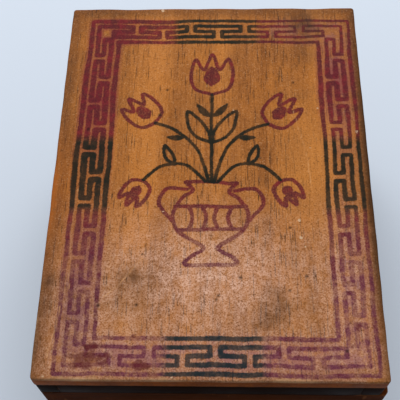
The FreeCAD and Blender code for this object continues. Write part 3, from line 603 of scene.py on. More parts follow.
WAVER, WAVER_SIZE = 0.35, 9.0
SHAKE, SHAKE_SIZE = 0.14, 2.4
BLEED_DRIFT, MOST_BLEED = 0.12, 0.9
SLIPPED = [((-33, 46), (6, 26), 0.9)]
BLED = [((-29, 22), (7, 22), 0.8), ((-24, 43), (11, 6), 0.5), ((31, 27), (6, 12), 0.6),
        ((-29, -22), (6, 12), 0.35)]
PRESSED = [((2, -46), (16, 8), 0.14), ((-4, 43), (20, 6), 0.16), ((31, 8), (6, 16), 0.08),
           ((-29, -2), (6, 11), 0.26), ((20, 43), (7, 6), -0.10), ((31, -22), (6, 20), 0.10)]
nudge = np.stack([slow_noise(flat, WAVER_SIZE, seed) for seed in (1, 2)], axis=1)
fine = np.stack([slow_noise(flat, SHAKE_SIZE, seed) for seed in (3, 4)], axis=1)
stamped = flat + WAVER * nudge + SHAKE * fine
stamped[:, 0] -= soft_patches(flat, SLIPPED)
bleed = np.clip(soft_patches(flat, BLED) + BLEED_DRIFT * nudge[:, 1], 0, MOST_BLEED)
print("largest nudge:", round(float(np.abs(stamped - flat).max()), 2), "mm")

# %% [markdown]
# Each ink now gets one number for every point: the distance to the edge of its nearest line, below zero
# inside the ink. Filled shapes count as ink all the way through. The numbers are stored as attributes of the
# mesh, which move with it and which the finish can read by name.


# %% Depth of the inks
def store(piece, name, values):
    """Keeps one number for each point of a piece."""
    layer = piece.data.attributes.new(name, "FLOAT", "POINT")
    layer.data.foreach_set("value", np.asarray(values, dtype=np.float32))


def ink_depth(lines, fills, half_width):
    """Distance to the edge of the ink, below zero inside it."""
    depth = distance_to(stamped, lines) - half_width
    for outline in fills:
        edge = distance_to(stamped, [outline + outline[:1]])
        depth = np.minimum(depth, np.where(inside(stamped, outline), -edge, edge))
    return depth


BORDER_LINE, RED_LINE, GREEN_LINE = 0.46, 0.50, 0.46
BLED_WIDTH, WIDTH_DRIFT = 0.42, 0.08
thickened = BLED_WIDTH * bleed + soft_patches(flat, PRESSED) + WIDTH_DRIFT * nudge[:, 0]
border = ink_depth(border_lines, [], BORDER_LINE) - thickened
red = ink_depth(maroon_lines, maroon_fills, RED_LINE)
green = ink_depth(green_lines, green_fills, GREEN_LINE)
for name, values in (("border_ink", border), ("bleed", bleed), ("red_ink", red), ("green_ink", green)):
    store(lid, name, values)
print("inked points:", int((np.minimum(border, np.minimum(red, green)) < 0).sum()))

# %% [markdown]
# The middle third of each side of the border is printed dark, and the red has washed out into the wood of
# the border, most of all near the front. Both are kept as shares from 0 to 1.


# %% Dark thirds and washed colour
def third(places, middle, half_length, fading):
    """Share of a stretch along one axis: 1 inside it, 0 outside, with soft ends."""
    return np.clip((half_length - np.abs(places - middle)) / fading + 0.5, 0, 1)


WASHED = [((32, 30), (9, 26), 0.8), ((20, 44), (14, 8), 0.5)]
MIDDLE_HALF_WIDTH, MIDDLE_HALF_DEPTH = 24, 38
WASH_STRENGTH, WASH_WIDTH = 1.3, 4.4
WASH_START, WASH_LENGTH, WASH_DRIFT = -8, 22, 0.3
in_front_or_back = np.abs(flat[:, 1]) > MIDDLE_HALF_DEPTH
in_left_or_right = np.abs(flat[:, 0]) > MIDDLE_HALF_WIDTH
across = third(flat[:, 0], middle=1.0, half_length=11.0, fading=2.0) * in_front_or_back
upright = third(flat[:, 1], middle=-0.8, half_length=10.3, fading=2.4) * in_left_or_right
store(lid, "dark_third", np.maximum(across, upright))
border_middle = box_line(*frame_level(MIDDLE_LEVEL))
band = np.clip(WASH_STRENGTH - distance_to(stamped, [border_middle]) / WASH_WIDTH, 0, 1)
low_wash = np.clip((WASH_START - flat[:, 1]) / WASH_LENGTH + WASH_DRIFT * nudge[:, 0], 0, 1)
store(lid, "wash", band * np.clip(low_wash + soft_patches(flat, WASHED), 0, 1))
print("dark points of the border:", int((np.maximum(across, upright) > 0.5).sum()))

# %% [markdown]
# ## Age
# Old varnish tells where hands have been. A pale bloom covers the near half, partly a haze in the varnish and
# partly the painted sheen of the light on it, with dark smudges, red blots and rubbed spots. Painted light
# and shade lie along the edges. They could be painted on with a brush, but soft patches in a list are easy to
# move and give the same result on every run.

# %% Soft marks
# The bloom is partly a haze in the old varnish and partly a painted sheen of the light on it.
BLOOM_AND_SHEEN = [((0, -27), (23, 13), 1.05), ((-29, -38), (11, 16), 0.5), ((6, -48), (44, 8), 0.55),
         ((31, -29), (7, 17), 0.5)]
SMUDGES = [((25, 44.5), (4.6, 3.6), 0.85), ((23, 47.6), (3.6, 3), 0.4), ((24.5, 36), (3.5, 5), 0.4),
           ((15, -35), (4.2, 3.2), 0.6), ((12, -38.4), (3.2, 2), 0.45), ((14.6, -31), (2.4, 1.4), 0.4),
           ((-17, -27.6), (4.4, 3.4), 0.6), ((-17.5, -33), (7, 5), 0.36), ((-36.5, 28), (2.4, 18), 0.3),
           ((0, 49.8), (40, 2.6), 0.22), ((-32, -36), (8, 15), 0.32), ((-30, 49.4), (9, 2.4), 0.3),
           ((19, -22), (1.0, 7), 0.3), ((22, -33), (1.0, 6), 0.3), ((-36, -29), (1.4, 1.2), 0.6)]
BLOTS = [((-26, -46.6), (5.0, 2.2), 1.0), ((-14.9, -47.9), (3.2, 1.3), 1.0),
         ((-16.2, -41.7), (1.0, 0.9), 0.9), ((-25.6, -43.6), (1.6, 0.9), 0.8),
         ((21.9, -43.9), (3.0, 0.8), 0.9), ((15.3, -45.3), (1.3, 1.6), 0.6), ((32, -39.2), (1.0, 1.6), 0.7)]
# Pale rubbed varnish along the front edge and low on the left, painted partly as a highlight on the edge.
RUBS_AND_HIGHLIGHTS = [((-27, -51), (6, 3), 1.0), ((-12, -51), (6, 3), 0.7), ((16, -51), (9, 3), 0.6),
        ((-37.5, -40), (3, 5), 0.5)]
# Painted light: an amber strip on the rounded left edge, where the varnish is worn, lit as if it faced the
# light.
AMBER_LIGHT_ON_LEFT_EDGE = [((-38.5, -8), (3.4, 13), 0.5), ((-36.4, -4), (2.4, 12), 0.45)]
# Painted shade: the right edge of the board and the low part of the left edge, darkened as if turned from the
# light.
PAINTED_EDGE_SHADE = [((38.5, -2), (2.6, 60), 1.0), ((-38.5, -42), (1.6, 18), 0.7)]
GOLD = [((23.5, 2), (6, 17), 1.0)]
SOFT_MARKS = {"smudge": SMUDGES, "blot": BLOTS, "rub": RUBS_AND_HIGHLIGHTS, "amber": AMBER_LIGHT_ON_LEFT_EDGE, "dim": PAINTED_EDGE_SHADE, "gold": GOLD}
store(lid, "edge_gap", edge_gap)
store(lid, "bloom", np.clip(soft_patches(flat, BLOOM_AND_SHEEN), 0, 1))
for name, patches in SOFT_MARKS.items():
    store(lid, name, soft_patches(flat, patches))
print("soft marks stored: bloom,", ", ".join(SOFT_MARKS))

# %% [markdown]
# The small marks are sharper: chips in the varnish, small dark holes and a few fine scratches. Decals could
# carry them, but spots with a size in millimetres are enough for chips and holes. Scratches are curves, so
# the distance to drawn lines serves once more.

# %% Small marks
CHIPS = [((35.6, 11.2), 0.55), ((20.5, -13.3), 0.55), ((20.7, -17.8), 0.5), ((21.6, -20), 0.3),
         ((26.4, 18.3), 0.35), ((24.1, 6.5), 0.35), ((-13.6, 50.4), 0.6), ((-8, -50.4), 0.4),
         ((-11.2, -11.1), 0.4), ((-35.2, -50.4), 0.34), ((5.4, 17.6), 0.3)]
HOLES = [((-13, 16.2), 0.5), ((-11.4, 23.9), 0.4), ((18.3, -15.2), 0.4), ((6.8, -27.7), 0.4),
         ((1.9, -32), 0.35), ((1.4, -33), 0.3), ((17.7, -30.7), 0.35), ((21.6, -27.3), 0.4),
         ((29.3, -44.4), 0.4), ((-24.6, -34.5), 0.45), ((-16.2, -34.3), 0.4), ((-15.5, -22.1), 0.3),
         ((-33.3, 4), 0.3), ((-30.7, 12), 0.4), ((20.7, 26.2), 0.35), ((17.3, 23), 0.3),
         ((11.9, 3.6), 0.3), ((-36.8, 5.7), 0.3)]
SCRATCHES = [curve([(20.3, 17.3), (22.1, 9.7), (23.3, 2.3), (23.8, -4.7)]),
             curve([(-31.8, -5), (-32.1, -11.3), (-32.1, -18.9), (-31.5, -30.6)]),
             curve([(-33, -34.6), (-33.5, -39.6), (-34.4, -42.5), (-34.7, -46.2)]),
             curve([(-15.6, -23), (-20, -29), (-23.6, -32.4)]), curve([(31.4, -40), (33, -47.5)])]
SCRATCH_WIDTH, SCRATCH_SHAKE = 0.26, 0.3


def spots(places, reach):
    """Small round marks: 1 in the middle, 0 beyond a share of their size."""
    gaps = [np.hypot(*(flat - np.array(middle)).T) / size for middle, size in places]
    return np.clip(reach - np.minimum.reduce(gaps), 0, 1)


store(lid, "chip", spots(CHIPS, reach=1.6))
store(lid, "hole", spots(HOLES, reach=1.3))
scratch_gap = distance_to(flat + SCRATCH_SHAKE * fine, SCRATCHES)
store(lid, "scratch", np.clip(1 - scratch_gap / SCRATCH_WIDTH, 0, 1))
print("chips:", len(CHIPS), "holes:", len(HOLES), "scratches:", len(SCRATCHES))

# %% [markdown]
# ## Wood
# All the wood shares one figure: slow bands of tone, fine dark pores, and a height for the bump. An effect
# that several finishes need is best made once, as a node group with named sockets. This one takes a place
# that is already stretched along the grain, so the same group serves boards that lie any way round.


# %% Wood figure
def new_group(name, inputs, outputs):
    """Node group with named sockets; returns the group, its recipe, its inputs and its output node."""
    group = bpy.data.node_groups.new(name, "ShaderNodeTree")
    for label, kind in inputs.items():
        group.interface.new_socket(name=label, in_out="INPUT", socket_type=kind)
    for label, kind in outputs.items():
        group.interface.new_socket(name=label, in_out="OUTPUT", socket_type=kind)
    recipe = Recipe(group)
    return group, recipe, recipe.add("NodeGroupInput").outputs, recipe.add("NodeGroupOutput")


FLOAT, COLOUR, VECTOR = "NodeSocketFloat", "NodeSocketColor", "NodeSocketVector"
figure, recipe, taken, given = new_group(
    "wood figure", {"Vector": VECTOR}, {"Tone": FLOAT, "Pores": FLOAT, "Height": FLOAT})
slow = recipe.noise(taken["Vector"], 150.0, 4.0, 0.55)
quick = recipe.noise(taken["Vector"], 1500.0, 3.0, 0.6)
tone = recipe.plus(recipe.times(slow, 0.65), recipe.times(quick, 0.35))
cells = recipe.noise(taken["Vector"], 2900.0, 2.0, 0.5)
patches = recipe.noise(taken["Vector"], 90.0, 2.0, 0.5)
pores = recipe.fade(recipe.plus(cells, recipe.times(patches, 0.35)), 0.74, 0.90)
height = recipe.minus(quick, pores)
recipe.fill(given, {"Tone": recipe.fade(tone, 0.32, 0.68), "Pores": pores, "Height": height})
print("group:", figure.name, "with", len(figure.nodes), "nodes")

# %% [markdown]
# ### Finish of the lid
# The finish is built in the order in which the real one came about: wood, varnish, print, wear. Each stage is
# a coat over the colour so far, and a small class holds that colour. One long chain of Mix nodes would be the
# same, but hard to read. The first coats are the grain, with warmer clouds and dark pores in it.


# %% Wood of the lid
class Coats:
    """Colour that is built up coat by coat."""

    def __init__(self, recipe, colour):
        self.recipe = recipe
        self.colour = colour

    def lay(self, share, colour):
        self.colour = self.recipe.mix(share, self.colour, colour)


def stretched(recipe, vector, scale):
    """Place squeezed along the axes, which draws a pattern out along the grain."""
    return recipe.fill(recipe.add("ShaderNodeMapping"), {"Vector": vector, "Scale": scale}).outputs[0]


def use(recipe, group, values):
    """Places a node group in a tree and gives its outputs."""
    return recipe.fill(recipe.add("ShaderNodeGroup", node_tree=group), values).outputs


GRAIN_ALONG_Y = (1.0, 0.055, 1.0)
varnished, recipe, shader = new_material("printed amber varnish")
spot = recipe.place()
wood = use(recipe, figure, {"Vector": stretched(recipe, spot, GRAIN_ALONG_Y)})
grit = recipe.noise(spot, 3200.0, 2.0, 0.6)
cloud = recipe.noise(spot, 95.0, 4.0, 0.6)
mottle = recipe.noise(spot, 420.0, 3.0, 0.6)
board = Coats(recipe, recipe.mix(wood["Tone"], paint(134, 78, 32), paint(188, 118, 54)))
board.lay(recipe.fade(cloud, 0.4, 0.7, 0.0, 0.45), paint(192, 116, 42))
board.lay(recipe.times(wood["Pores"], 0.7), paint(50, 28, 16))
print("finish begun:", varnished.name)

# %% [markdown]
# Next come the varnish and what age did to it: the pale bloom, which also paints the sheen of the light on
# the varnish, broken up by grit, a darker rim, dark dashes where dirt sits in the open grain, pale specks, a
# golden patch on the right, and red that has washed out of the print. Every one is a stored mark, made uneven
# by a noise so that it has no clean edge.


# %% Old varnish
def attribute(recipe, name):
    """A number that is stored on the mesh."""
    return recipe.add("ShaderNodeAttribute", attribute_name=name).outputs["Fac"]


# The pale bloom paints the sheen of the light on the varnish, together with its haze.
bloom = attribute(recipe, "bloom")
pale = recipe.times(bloom, recipe.fade(mottle, 0.25, 0.7, 0.3, 1.0))
pale = recipe.times(pale, recipe.fade(grit, 0.34, 0.62, 1.0, 0.3))
board.lay(recipe.times(pale, 0.9), paint(234, 190, 168))
rim_gap = recipe.math("MAXIMUM", recipe.fade(attribute(recipe, "edge_gap"), 0.0, 5.0), bloom)
board.lay(recipe.fade(rim_gap, 1.0, 0.0, 0.0, 0.5), paint(98, 56, 28))
streak = recipe.noise(stretched(recipe, spot, (1.0, 0.1, 1.0)), 1900.0, 2.0, 0.5)
dash = recipe.times(recipe.fade(streak, 0.62, 0.72), recipe.fade(recipe.noise(spot, 85.0, 2.0), 0.46, 0.62))
board.lay(recipe.times(dash, 0.85), paint(40, 24, 14))
board.lay(recipe.fade(grit, 0.44, 0.28, 0.0, 0.34), paint(222, 176, 132))
board.lay(recipe.times(attribute(recipe, "gold"), 0.5), paint(208, 134, 62))
kept = recipe.fade(recipe.noise(spot, 240.0, 5.0, 0.7), 0.36, 0.62)
washed = recipe.times(attribute(recipe, "wash"), recipe.fade(kept, 0.0, 1.0, 0.12, 0.55))
board.lay(washed, paint(138, 86, 98))
print("nodes so far:", len(varnished.node_tree.nodes))

# %% [markdown]
# The two inks aren't one colour each. The maroon is fresh at the back and a thin purple near the front, and
# the dark ink goes from green to blue. How well they cover depends on where the colour has kept and on the
# grit. Two flat colours would look newly printed.

# %% Inks
FADED_Y, FRESH_Y = -40 * MM, 2 * MM
fresh = recipe.fade(recipe.split(spot)[1], FADED_Y, FRESH_Y)
kept_cover = recipe.fade(kept, 0.0, 1.0, 0.45, 0.92)
fresh_cover = recipe.fade(fresh, 0.0, 1.0, 0.4, 0.92)
cover = recipe.math("MAXIMUM", kept_cover, fresh_cover)
thin = recipe.times(cover, recipe.fade(grit, 0.36, 0.52, 0.82, 1.0))
strong = recipe.fade(kept, 0.0, 1.0, 0.84, 0.97)
patchy = recipe.fade(mottle, 0.4, 0.7)
fresh_maroon = recipe.mix(patchy, paint(84, 14, 30), paint(116, 26, 38))
faded_maroon = recipe.mix(patchy, paint(104, 46, 68), paint(92, 26, 44))
maroon = recipe.mix(fresh, faded_maroon, fresh_maroon)
dark = recipe.mix(fresh, paint(22, 40, 44), paint(8, 22, 15))
dark_third = attribute(recipe, "dark_third")
border_ink = recipe.mix(dark_third, maroon, dark)
print("nodes so far:", len(varnished.node_tree.nodes))

# %% [markdown]
# Now the print itself. The stored distance is made uneven by a fine noise, and a short fade cuts it into ink
# and bare wood. Where the colour has bled, a weaker stain seeps past the edge of the line first.

# %% Lay the print
uneven = recipe.times(recipe.minus(recipe.noise(spot, 2100.0, 4.0, 0.65), 0.5), 0.62)


def lay_ink(name, ink, strength):
    """Lays one ink over the wood, with a ragged edge."""
    depth = recipe.plus(attribute(recipe, name), uneven)
    board.lay(recipe.times(recipe.fade(depth, 0.14, -0.16), strength), ink)


seeped = recipe.times(attribute(recipe, "bleed"), recipe.fade(attribute(recipe, "border_ink"), 1.1, 0.0))
board.lay(recipe.times(seeped, recipe.fade(mottle, 0.2, 0.7, 0.5, 1.0)), paint(126, 46, 52))
lay_ink("border_ink", border_ink, recipe.math("MAXIMUM", thin, recipe.times(strong, dark_third)))
lay_ink("red_ink", maroon, thin)
lay_ink("green_ink", dark, strong)
print("nodes so far:", len(varnished.node_tree.nodes))

# %% [markdown]
# Dirt and damage lie over the print: red blots with a ragged edge, brown smudges, specks of dirt, dark holes,
# chips that show bare wood, and pale scratches. They are laid last because they came last.

# %% Lay the marks
ragged = recipe.plus(recipe.times(uneven, 0.8), recipe.fade(mottle, 0.3, 0.7, -0.3, 0.3))
blot = recipe.fade(recipe.plus(attribute(recipe, "blot"), ragged), 0.4, 0.75)
board.lay(recipe.times(blot, 0.7), paint(92, 28, 32))
smudge = recipe.times(attribute(recipe, "smudge"), recipe.fade(mottle, 0.2, 0.7, 1.0, 0.5))
board.lay(smudge, paint(58, 38, 26))
board.lay(recipe.fade(grit, 0.55, 0.70, 0.0, 0.55), paint(52, 30, 18))
board.lay(recipe.times(attribute(recipe, "hole"), 0.9), paint(24, 14, 10))
flake = recipe.fade(recipe.plus(attribute(recipe, "chip"), recipe.times(uneven, 2.4)), 0.75, 0.95)
board.lay(recipe.times(flake, 0.75), paint(214, 182, 148))
scratch = recipe.fade(attribute(recipe, "scratch"), 0.1, 0.9)
board.lay(recipe.times(scratch, recipe.fade(kept, 0.0, 0.8, 0.15, 0.5)), paint(216, 160, 108))
print("nodes so far:", len(varnished.node_tree.nodes))

# %% [markdown]
# The edges follow: painted light in amber on the left edge, where the varnish is worn, painted shade on most
# of the right, and a pale line along the front that is rubbed varnish with a painted highlight. The sides of
# the board are darker varnish, and the underside is plain wood. They could have materials of their own, but
# one material that goes by the height of the point leaves no seam.

# %% Edges, sides and underside of the lid
edge = recipe.plus(attribute(recipe, "edge_gap"), recipe.times(recipe.minus(mottle, 0.5), 3.0))
# Painted light in amber on the left edge, over worn varnish.
amber = recipe.times(attribute(recipe, "amber"), recipe.fade(edge, 1.5, 0.7, 0.3, 0.85))
board.lay(amber, paint(170, 92, 30))
# Painted shade darkens most of the right edge and the low left edge.
board.lay(recipe.times(attribute(recipe, "dim"), recipe.fade(edge, 2.8, 0.5)), paint(54, 34, 17))
# Pale rubbed varnish, partly a painted highlight along the front edge.
rub = recipe.times(attribute(recipe, "rub"), recipe.fade(cloud, 0.42, 0.56, 0.15, 0.8))
board.lay(recipe.times(rub, recipe.fade(edge, 0.9, 0.1)), paint(206, 166, 124))
height = recipe.split(spot)[2]
top_face = recipe.fade(height, LID_HIGH.z - 1.1 * MM, LID_HIGH.z - 0.3 * MM)
below = recipe.fade(height, LID_LOW.z + 0.10 * MM, LID_LOW.z + 0.02 * MM)
side = recipe.mix(wood["Tone"], paint(98, 45, 6), paint(146, 72, 13))
underside = recipe.mix(wood["Tone"], paint(88, 54, 28), paint(132, 86, 48))
underside = recipe.mix(recipe.fade(cloud, 0.4, 0.7, 0.0, 0.4), underside, paint(80, 48, 26))
lid_colour = recipe.mix(top_face, recipe.mix(below, side, underside), board.colour)
print("nodes so far:", len(varnished.node_tree.nodes))

# %% [markdown]
# The colour goes to the shader, rougher where the bloom and its painted sheen are, with the grain as a bump.
# The gloss is kept low, because old thin varnish hardly mirrors the lamp. Then the lid takes the place of the
# measured board and rides on the lid's body.


# %% Dress the lid
def bump(recipe, height, strength, distance):
    """Surface normal from a height."""
    values = {"Strength": strength, "Distance": distance, "Height": height}
    return recipe.fill(recipe.add("ShaderNodeBump"), values).outputs[0]


def dress(piece, material, node):
    """Gives a piece its finish, hides the measured node that it stands for, and prints its size."""
    wear(piece, material)
    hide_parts(node)
    measure(piece)


rough = recipe.plus(recipe.fade(bloom, 0.0, 1.0, 0.42, 0.58), recipe.fade(mottle, 0.3, 0.7, -0.06, 0.06))
grain_bump = bump(recipe, wood["Height"], 0.25, 0.05 * MM)
recipe.fill(shader, {"Base Color": lid_colour, "Roughness": rough, "Normal": grain_bump,
                     "Specular IOR Level": 0.03})
dress(lid, varnished, "lid_board")
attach(lid, "lid")

# %% [markdown]
# ## Walls, rim and floor
# The boards of the box are plain, but no real board has a knife edge. They could be built again from cubes.
# It is shorter to copy each measured board, merge its loose triangles into whole faces, and ease every edge
# with a narrow bevel, which keeps its nail holes and rebates.


# %% Eased copies of measured boards
def apply_modifier(piece, kind, **settings):
    """Adds a modifier and applies it at once."""
    take(piece)
    modifier = piece.modifiers.new(kind.lower(), kind)
    for name, value in settings.items():
        setattr(modifier, name, value)
    bpy.ops.object.modifier_apply(modifier=modifier.name)
    return piece


SHARP_ANGLE = 35
MERGE_GAP = 0.002 * MM


def eased(node, width, name):
    """Copy of a measured board with all its edges eased."""
    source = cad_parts[node]
    take(source)
    bpy.ops.object.duplicate()
    piece = named(name)
    piece.parent = None
    piece.matrix_world = source.matrix_world
    for key in [key for key in piece.keys() if key.startswith("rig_")]:
        del piece[key]
    edit(piece)
    bpy.ops.mesh.remove_doubles(threshold=MERGE_GAP)
    bpy.ops.mesh.dissolve_limited(angle_limit=math.radians(1))
    bpy.ops.object.mode_set(mode="OBJECT")
    apply_modifier(piece, "BEVEL", width=width, segments=2, limit_method="ANGLE",
                   angle_limit=math.radians(SHARP_ANGLE))
    return smooth(piece, SHARP_ANGLE)


wall_low, wall_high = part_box("left_wall")
print("thickness of a side wall:", round((wall_high.x - wall_low.x) / MM, 2), "mm")

# %% [markdown]
# Edges of old boards are rubbed pale. The Pointiness output could find them, but it depends on the mesh. A
# group measures it instead: how near a point of a square board is to one of its edges, from the middle and
# the half size of the board.


# %% Nearness to the edges of a square board
def between(recipe, operation, first, second=(0, 0, 0)):
    """One operation on two vectors."""
    node = recipe.add("ShaderNodeVectorMath", operation=operation)
    return recipe.fill(node, {0: first, 1: second}).outputs[0]


edges, recipe, taken, given = new_group(
    "board edges", {"Vector": VECTOR, "Middle": VECTOR, "Half": VECTOR}, {"Gap": FLOAT})
offset = between(recipe, "ABSOLUTE", between(recipe, "SUBTRACT", taken["Vector"], taken["Middle"]))
x, y, z = recipe.split(between(recipe, "SUBTRACT", taken["Half"], offset))
low, high = recipe.math("MINIMUM", x, y), recipe.math("MAXIMUM", x, y)
gap = recipe.math("MAXIMUM", low, recipe.math("MINIMUM", high, z))
recipe.fill(given, {"Gap": gap})
print("group:", edges.name, "with", len(edges.nodes), "nodes")

# %% [markdown]
# Stain and wear are the same on every board and only their colours differ, so they are a group as well. It
# lays clouds of deep stain, pores, pale rubbed edges and scuffs over the figure of the wood. Copied into each
# material, they would have to be changed in a dozen places.

# %% Stain and wear
PORE_BLACK = paint(14, 8, 6)
stain, recipe, taken, given = new_group(
    "stain and wear",
    {"Place": VECTOR, "Tone": FLOAT, "Pores": FLOAT, "Gap": FLOAT,
     "Light": COLOUR, "Deep": COLOUR, "Worn": COLOUR},
    {"Colour": COLOUR, "Cloud": FLOAT})
cloud = recipe.noise(taken["Place"], 70.0, 4.0, 0.6)
plank = Coats(recipe, recipe.mix(taken["Tone"], taken["Deep"], taken["Light"]))
plank.lay(recipe.fade(cloud, 0.45, 0.75, 0.0, 0.4), taken["Deep"])
plank.lay(recipe.times(taken["Pores"], 0.6), PORE_BLACK)
uneven = recipe.fade(recipe.noise(taken["Place"], 120.0, 6.0, 0.75), 0.32, 0.6, -0.15 * MM, 0.7 * MM)
plank.lay(recipe.fade(recipe.plus(taken["Gap"], uneven), 0.55 * MM, 0.1 * MM, 0.0, 0.42), taken["Worn"])
scuff = recipe.noise(stretched(recipe, taken["Place"], (1.0, 1.0, 0.25)), 700.0, 4.0, 0.7)
plank.lay(recipe.fade(scuff, 0.62, 0.78, 0.0, 0.35), taken["Worn"])
recipe.fill(given, {"Colour": plank.colour, "Cloud": cloud})
print("group:", stain.name, "with", len(stain.nodes), "nodes")

# %% [markdown]
# A board's finish puts the three groups together. Its grain runs along one axis, its edges come from the box
# of its node, and it has almost no gloss, warm where there is any. Each board has a material of its own,
# because each has its own middle and size.

# %% Finish of a board
WARM_GLOSS = paint(255, 210, 170)
GRAIN_STRETCH = 0.05


def board_finish(name, colours, grain_axis, node, roughness):
    """Stained wood with its grain along one axis and paler, rubbed edges."""
    light, deep, worn = colours
    material, recipe, shader = new_material(name)
    spot = recipe.place()
    stretch = [GRAIN_STRETCH if axis == grain_axis else 1.0 for axis in range(3)]
    wood = use(recipe, figure, {"Vector": stretched(recipe, spot, stretch)})
    low, high = (Vector(corner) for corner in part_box(node))
    gap = use(recipe, edges, {"Vector": spot, "Middle": (low + high) / 2, "Half": (high - low) / 2})["Gap"]
    stained = use(recipe, stain, {"Place": spot, "Tone": wood["Tone"], "Pores": wood["Pores"], "Gap": gap,
                                  "Light": light, "Deep": deep, "Worn": worn})
    rough = recipe.fade(stained["Cloud"], 0.3, 0.7, roughness - 0.08, roughness + 0.1)
    recipe.fill(shader, {"Base Color": stained["Colour"], "Roughness": rough,
                         "Normal": bump(recipe, wood["Height"], 0.3, 0.06 * MM),
                         "Specular IOR Level": 0.008, "Specular Tint": WARM_GLOSS})
    return material


print("grain drawn out", 1 / GRAIN_STRETCH, "times along a board")

# %% [markdown]
# With that, two loops and one more call make the boards. The rim of the lid is nearly black, the walls are a
# warm brown and the floor is bare. The sticks and boards at the front and back have their grain from left to
# right, and the others from front to back.

# %% Rim, walls and floor board
# The rim's colours are nearly black, much darker than the walls below it and the edge of the board above it.
RIM_COLOURS = (paint(34, 15, 7), paint(17, 7, 3), paint(92, 52, 28))
WALL_COLOURS = (paint(84, 40, 14), paint(52, 24, 8), paint(132, 80, 42))
FLOOR_COLOURS = (paint(150, 112, 72), paint(112, 78, 46), paint(172, 134, 92))
RIM_EASE, WALL_EASE, FLOOR_EASE = 0.22 * MM, 0.25 * MM, 0.3 * MM
GRAIN_AXES = {"front": 0, "back": 0, "left": 1, "right": 1}
for side, grain_axis in GRAIN_AXES.items():
    node = f"lid_{side}_rim"
    stick = eased(node, RIM_EASE, f"lid_stick_{side}")
    near_black_rim_finish = board_finish(f"dark {node}", RIM_COLOURS, grain_axis, node, roughness=0.5)
    dress(stick, near_black_rim_finish, node)
    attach(stick, "lid")
for side, grain_axis in GRAIN_AXES.items():
    node = f"{side}_wall"
    wall = eased(node, WALL_EASE, f"{node}_board")
    brown_varnish = board_finish(f"brown {node}", WALL_COLOURS, grain_axis, node, roughness=0.45)
    dress(wall, brown_varnish, node)
    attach(wall, "box")
bottom = eased("floor_board", FLOOR_EASE, "floor_panel")
bare_floor = board_finish("bare floor", FLOOR_COLOURS, 1, "floor_board", roughness=0.7)
dress(bottom, bare_floor, "floor_board")
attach(bottom, "box")

# %% [markdown]
# ## Metal parts
# Hinges, pins, nails and screws keep their measured shapes, because they are small and plain. What makes
# them look real is the finish: bright where they rub, brown and dull where they don't. Brass, steel and iron
# tarnish in the same patchy way, so the tarnish is a group, and each metal gives it two colours.

# %% Tarnish
tarnish, recipe, taken, given = new_group(
    "tarnish", {"Place": VECTOR, "Bright": COLOUR, "Dull": COLOUR},
    {"Colour": COLOUR, "Tarnish": FLOAT, "Grain": FLOAT})
cloud = recipe.noise(taken["Place"], 400.0, 5.0, 0.65)
grain = recipe.noise(taken["Place"], 2600.0, 3.0, 0.6)
dullness = recipe.fade(recipe.plus(cloud, recipe.times(grain, 0.3)), 0.52, 0.84)
colour = recipe.mix(dullness, taken["Bright"], taken["Dull"])
recipe.fill(given, {"Colour": colour, "Tarnish": dullness, "Grain": grain})


def metal_finish(name, bright, dull, polish):
    """Old metal with a patchy tarnish, rougher and less metallic where it is dull."""
    material, recipe, shader = new_material(name)
    old = use(recipe, tarnish, {"Place": recipe.place(), "Bright": bright, "Dull": dull})
    recipe.fill(shader, {"Base Color": old["Colour"],
                         "Metallic": recipe.fade(old["Tarnish"], 0.2, 1.0, 1.0, 0.5),
                         "Roughness": recipe.fade(old["Tarnish"], 0.0, 1.0, polish, polish + 0.35),
                         "Normal": bump(recipe, old["Grain"], 0.15, 0.03 * MM)})
    return material


print("group:", tarnish.name, "with", len(tarnish.nodes), "nodes")

# %% [markdown]
# Hinges and catch are brass, the spring and what holds it are steel, and the brads in the wood are old iron.
# New pieces could replace these nodes too, but nothing would show that the measured ones lack. So they wear
# the finishes as they are.

# %% Small metal parts
brass = metal_finish("aged brass", paint(206, 168, 92), paint(96, 68, 40), 0.30)
steel = metal_finish("dull steel", paint(176, 174, 170), paint(92, 74, 62), 0.34)
iron = metal_finish("old iron", paint(112, 104, 98), paint(62, 46, 38), 0.45)
BRASS_NODES = ("hinge_lower_leaf_left", "hinge_lower_leaf_right", "hinge_upper_leaf_left",
               "hinge_upper_leaf_right", "hinge_pin_left", "hinge_pin_right", "hinge_lower_nails",
               "hinge_upper_nails", "catch_strike", "strike_nails", "catch_screws")
IRON_NODES = ("wall_brads", "floor_brads")
STEEL_NODES = ("base_disc_screw", "base_staples", "cap_staples")
for material, nodes in ((brass, BRASS_NODES), (iron, IRON_NODES), (steel, STEEL_NODES)):
    for node in nodes:
        wear(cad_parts[node], material)
    print(material.name, "on", len(nodes), "nodes")

# %% [markdown]
# The catch is a strip of springy brass, screwed down at its foot, which bends when the lid pulls past it. A
# strip of two long faces can't bend, so its copy is sliced crosswise into short lengths.

# %% Catch leaf
LEAF_EASE = 0.06 * MM
LEAF_SLICES = 12
SLICE = 1.5 * MM
leaf = eased("catch_leaf", LEAF_EASE, "catch_spring_strip")
clamp_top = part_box("catch_packing")[1].z
edit(leaf)
for step in range(LEAF_SLICES):
    bpy.ops.mesh.select_all(action="SELECT")
    bpy.ops.mesh.bisect(plane_co=(0, 0, clamp_top + (step - 1) * SLICE), plane_no=(0, 0, 1))
bpy.ops.object.mode_set(mode="OBJECT")
dress(leaf, brass, "catch_leaf")
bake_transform(leaf)

# %% [markdown]
# ## Spring
# The spring sits between two wooden discs, and a dowel holds the head on the upper one. These turned pieces
# and the packing of the catch are bare wood. They could be spun again from a profile, but eased copies of the
# measured ones are enough, with the finish of a board.

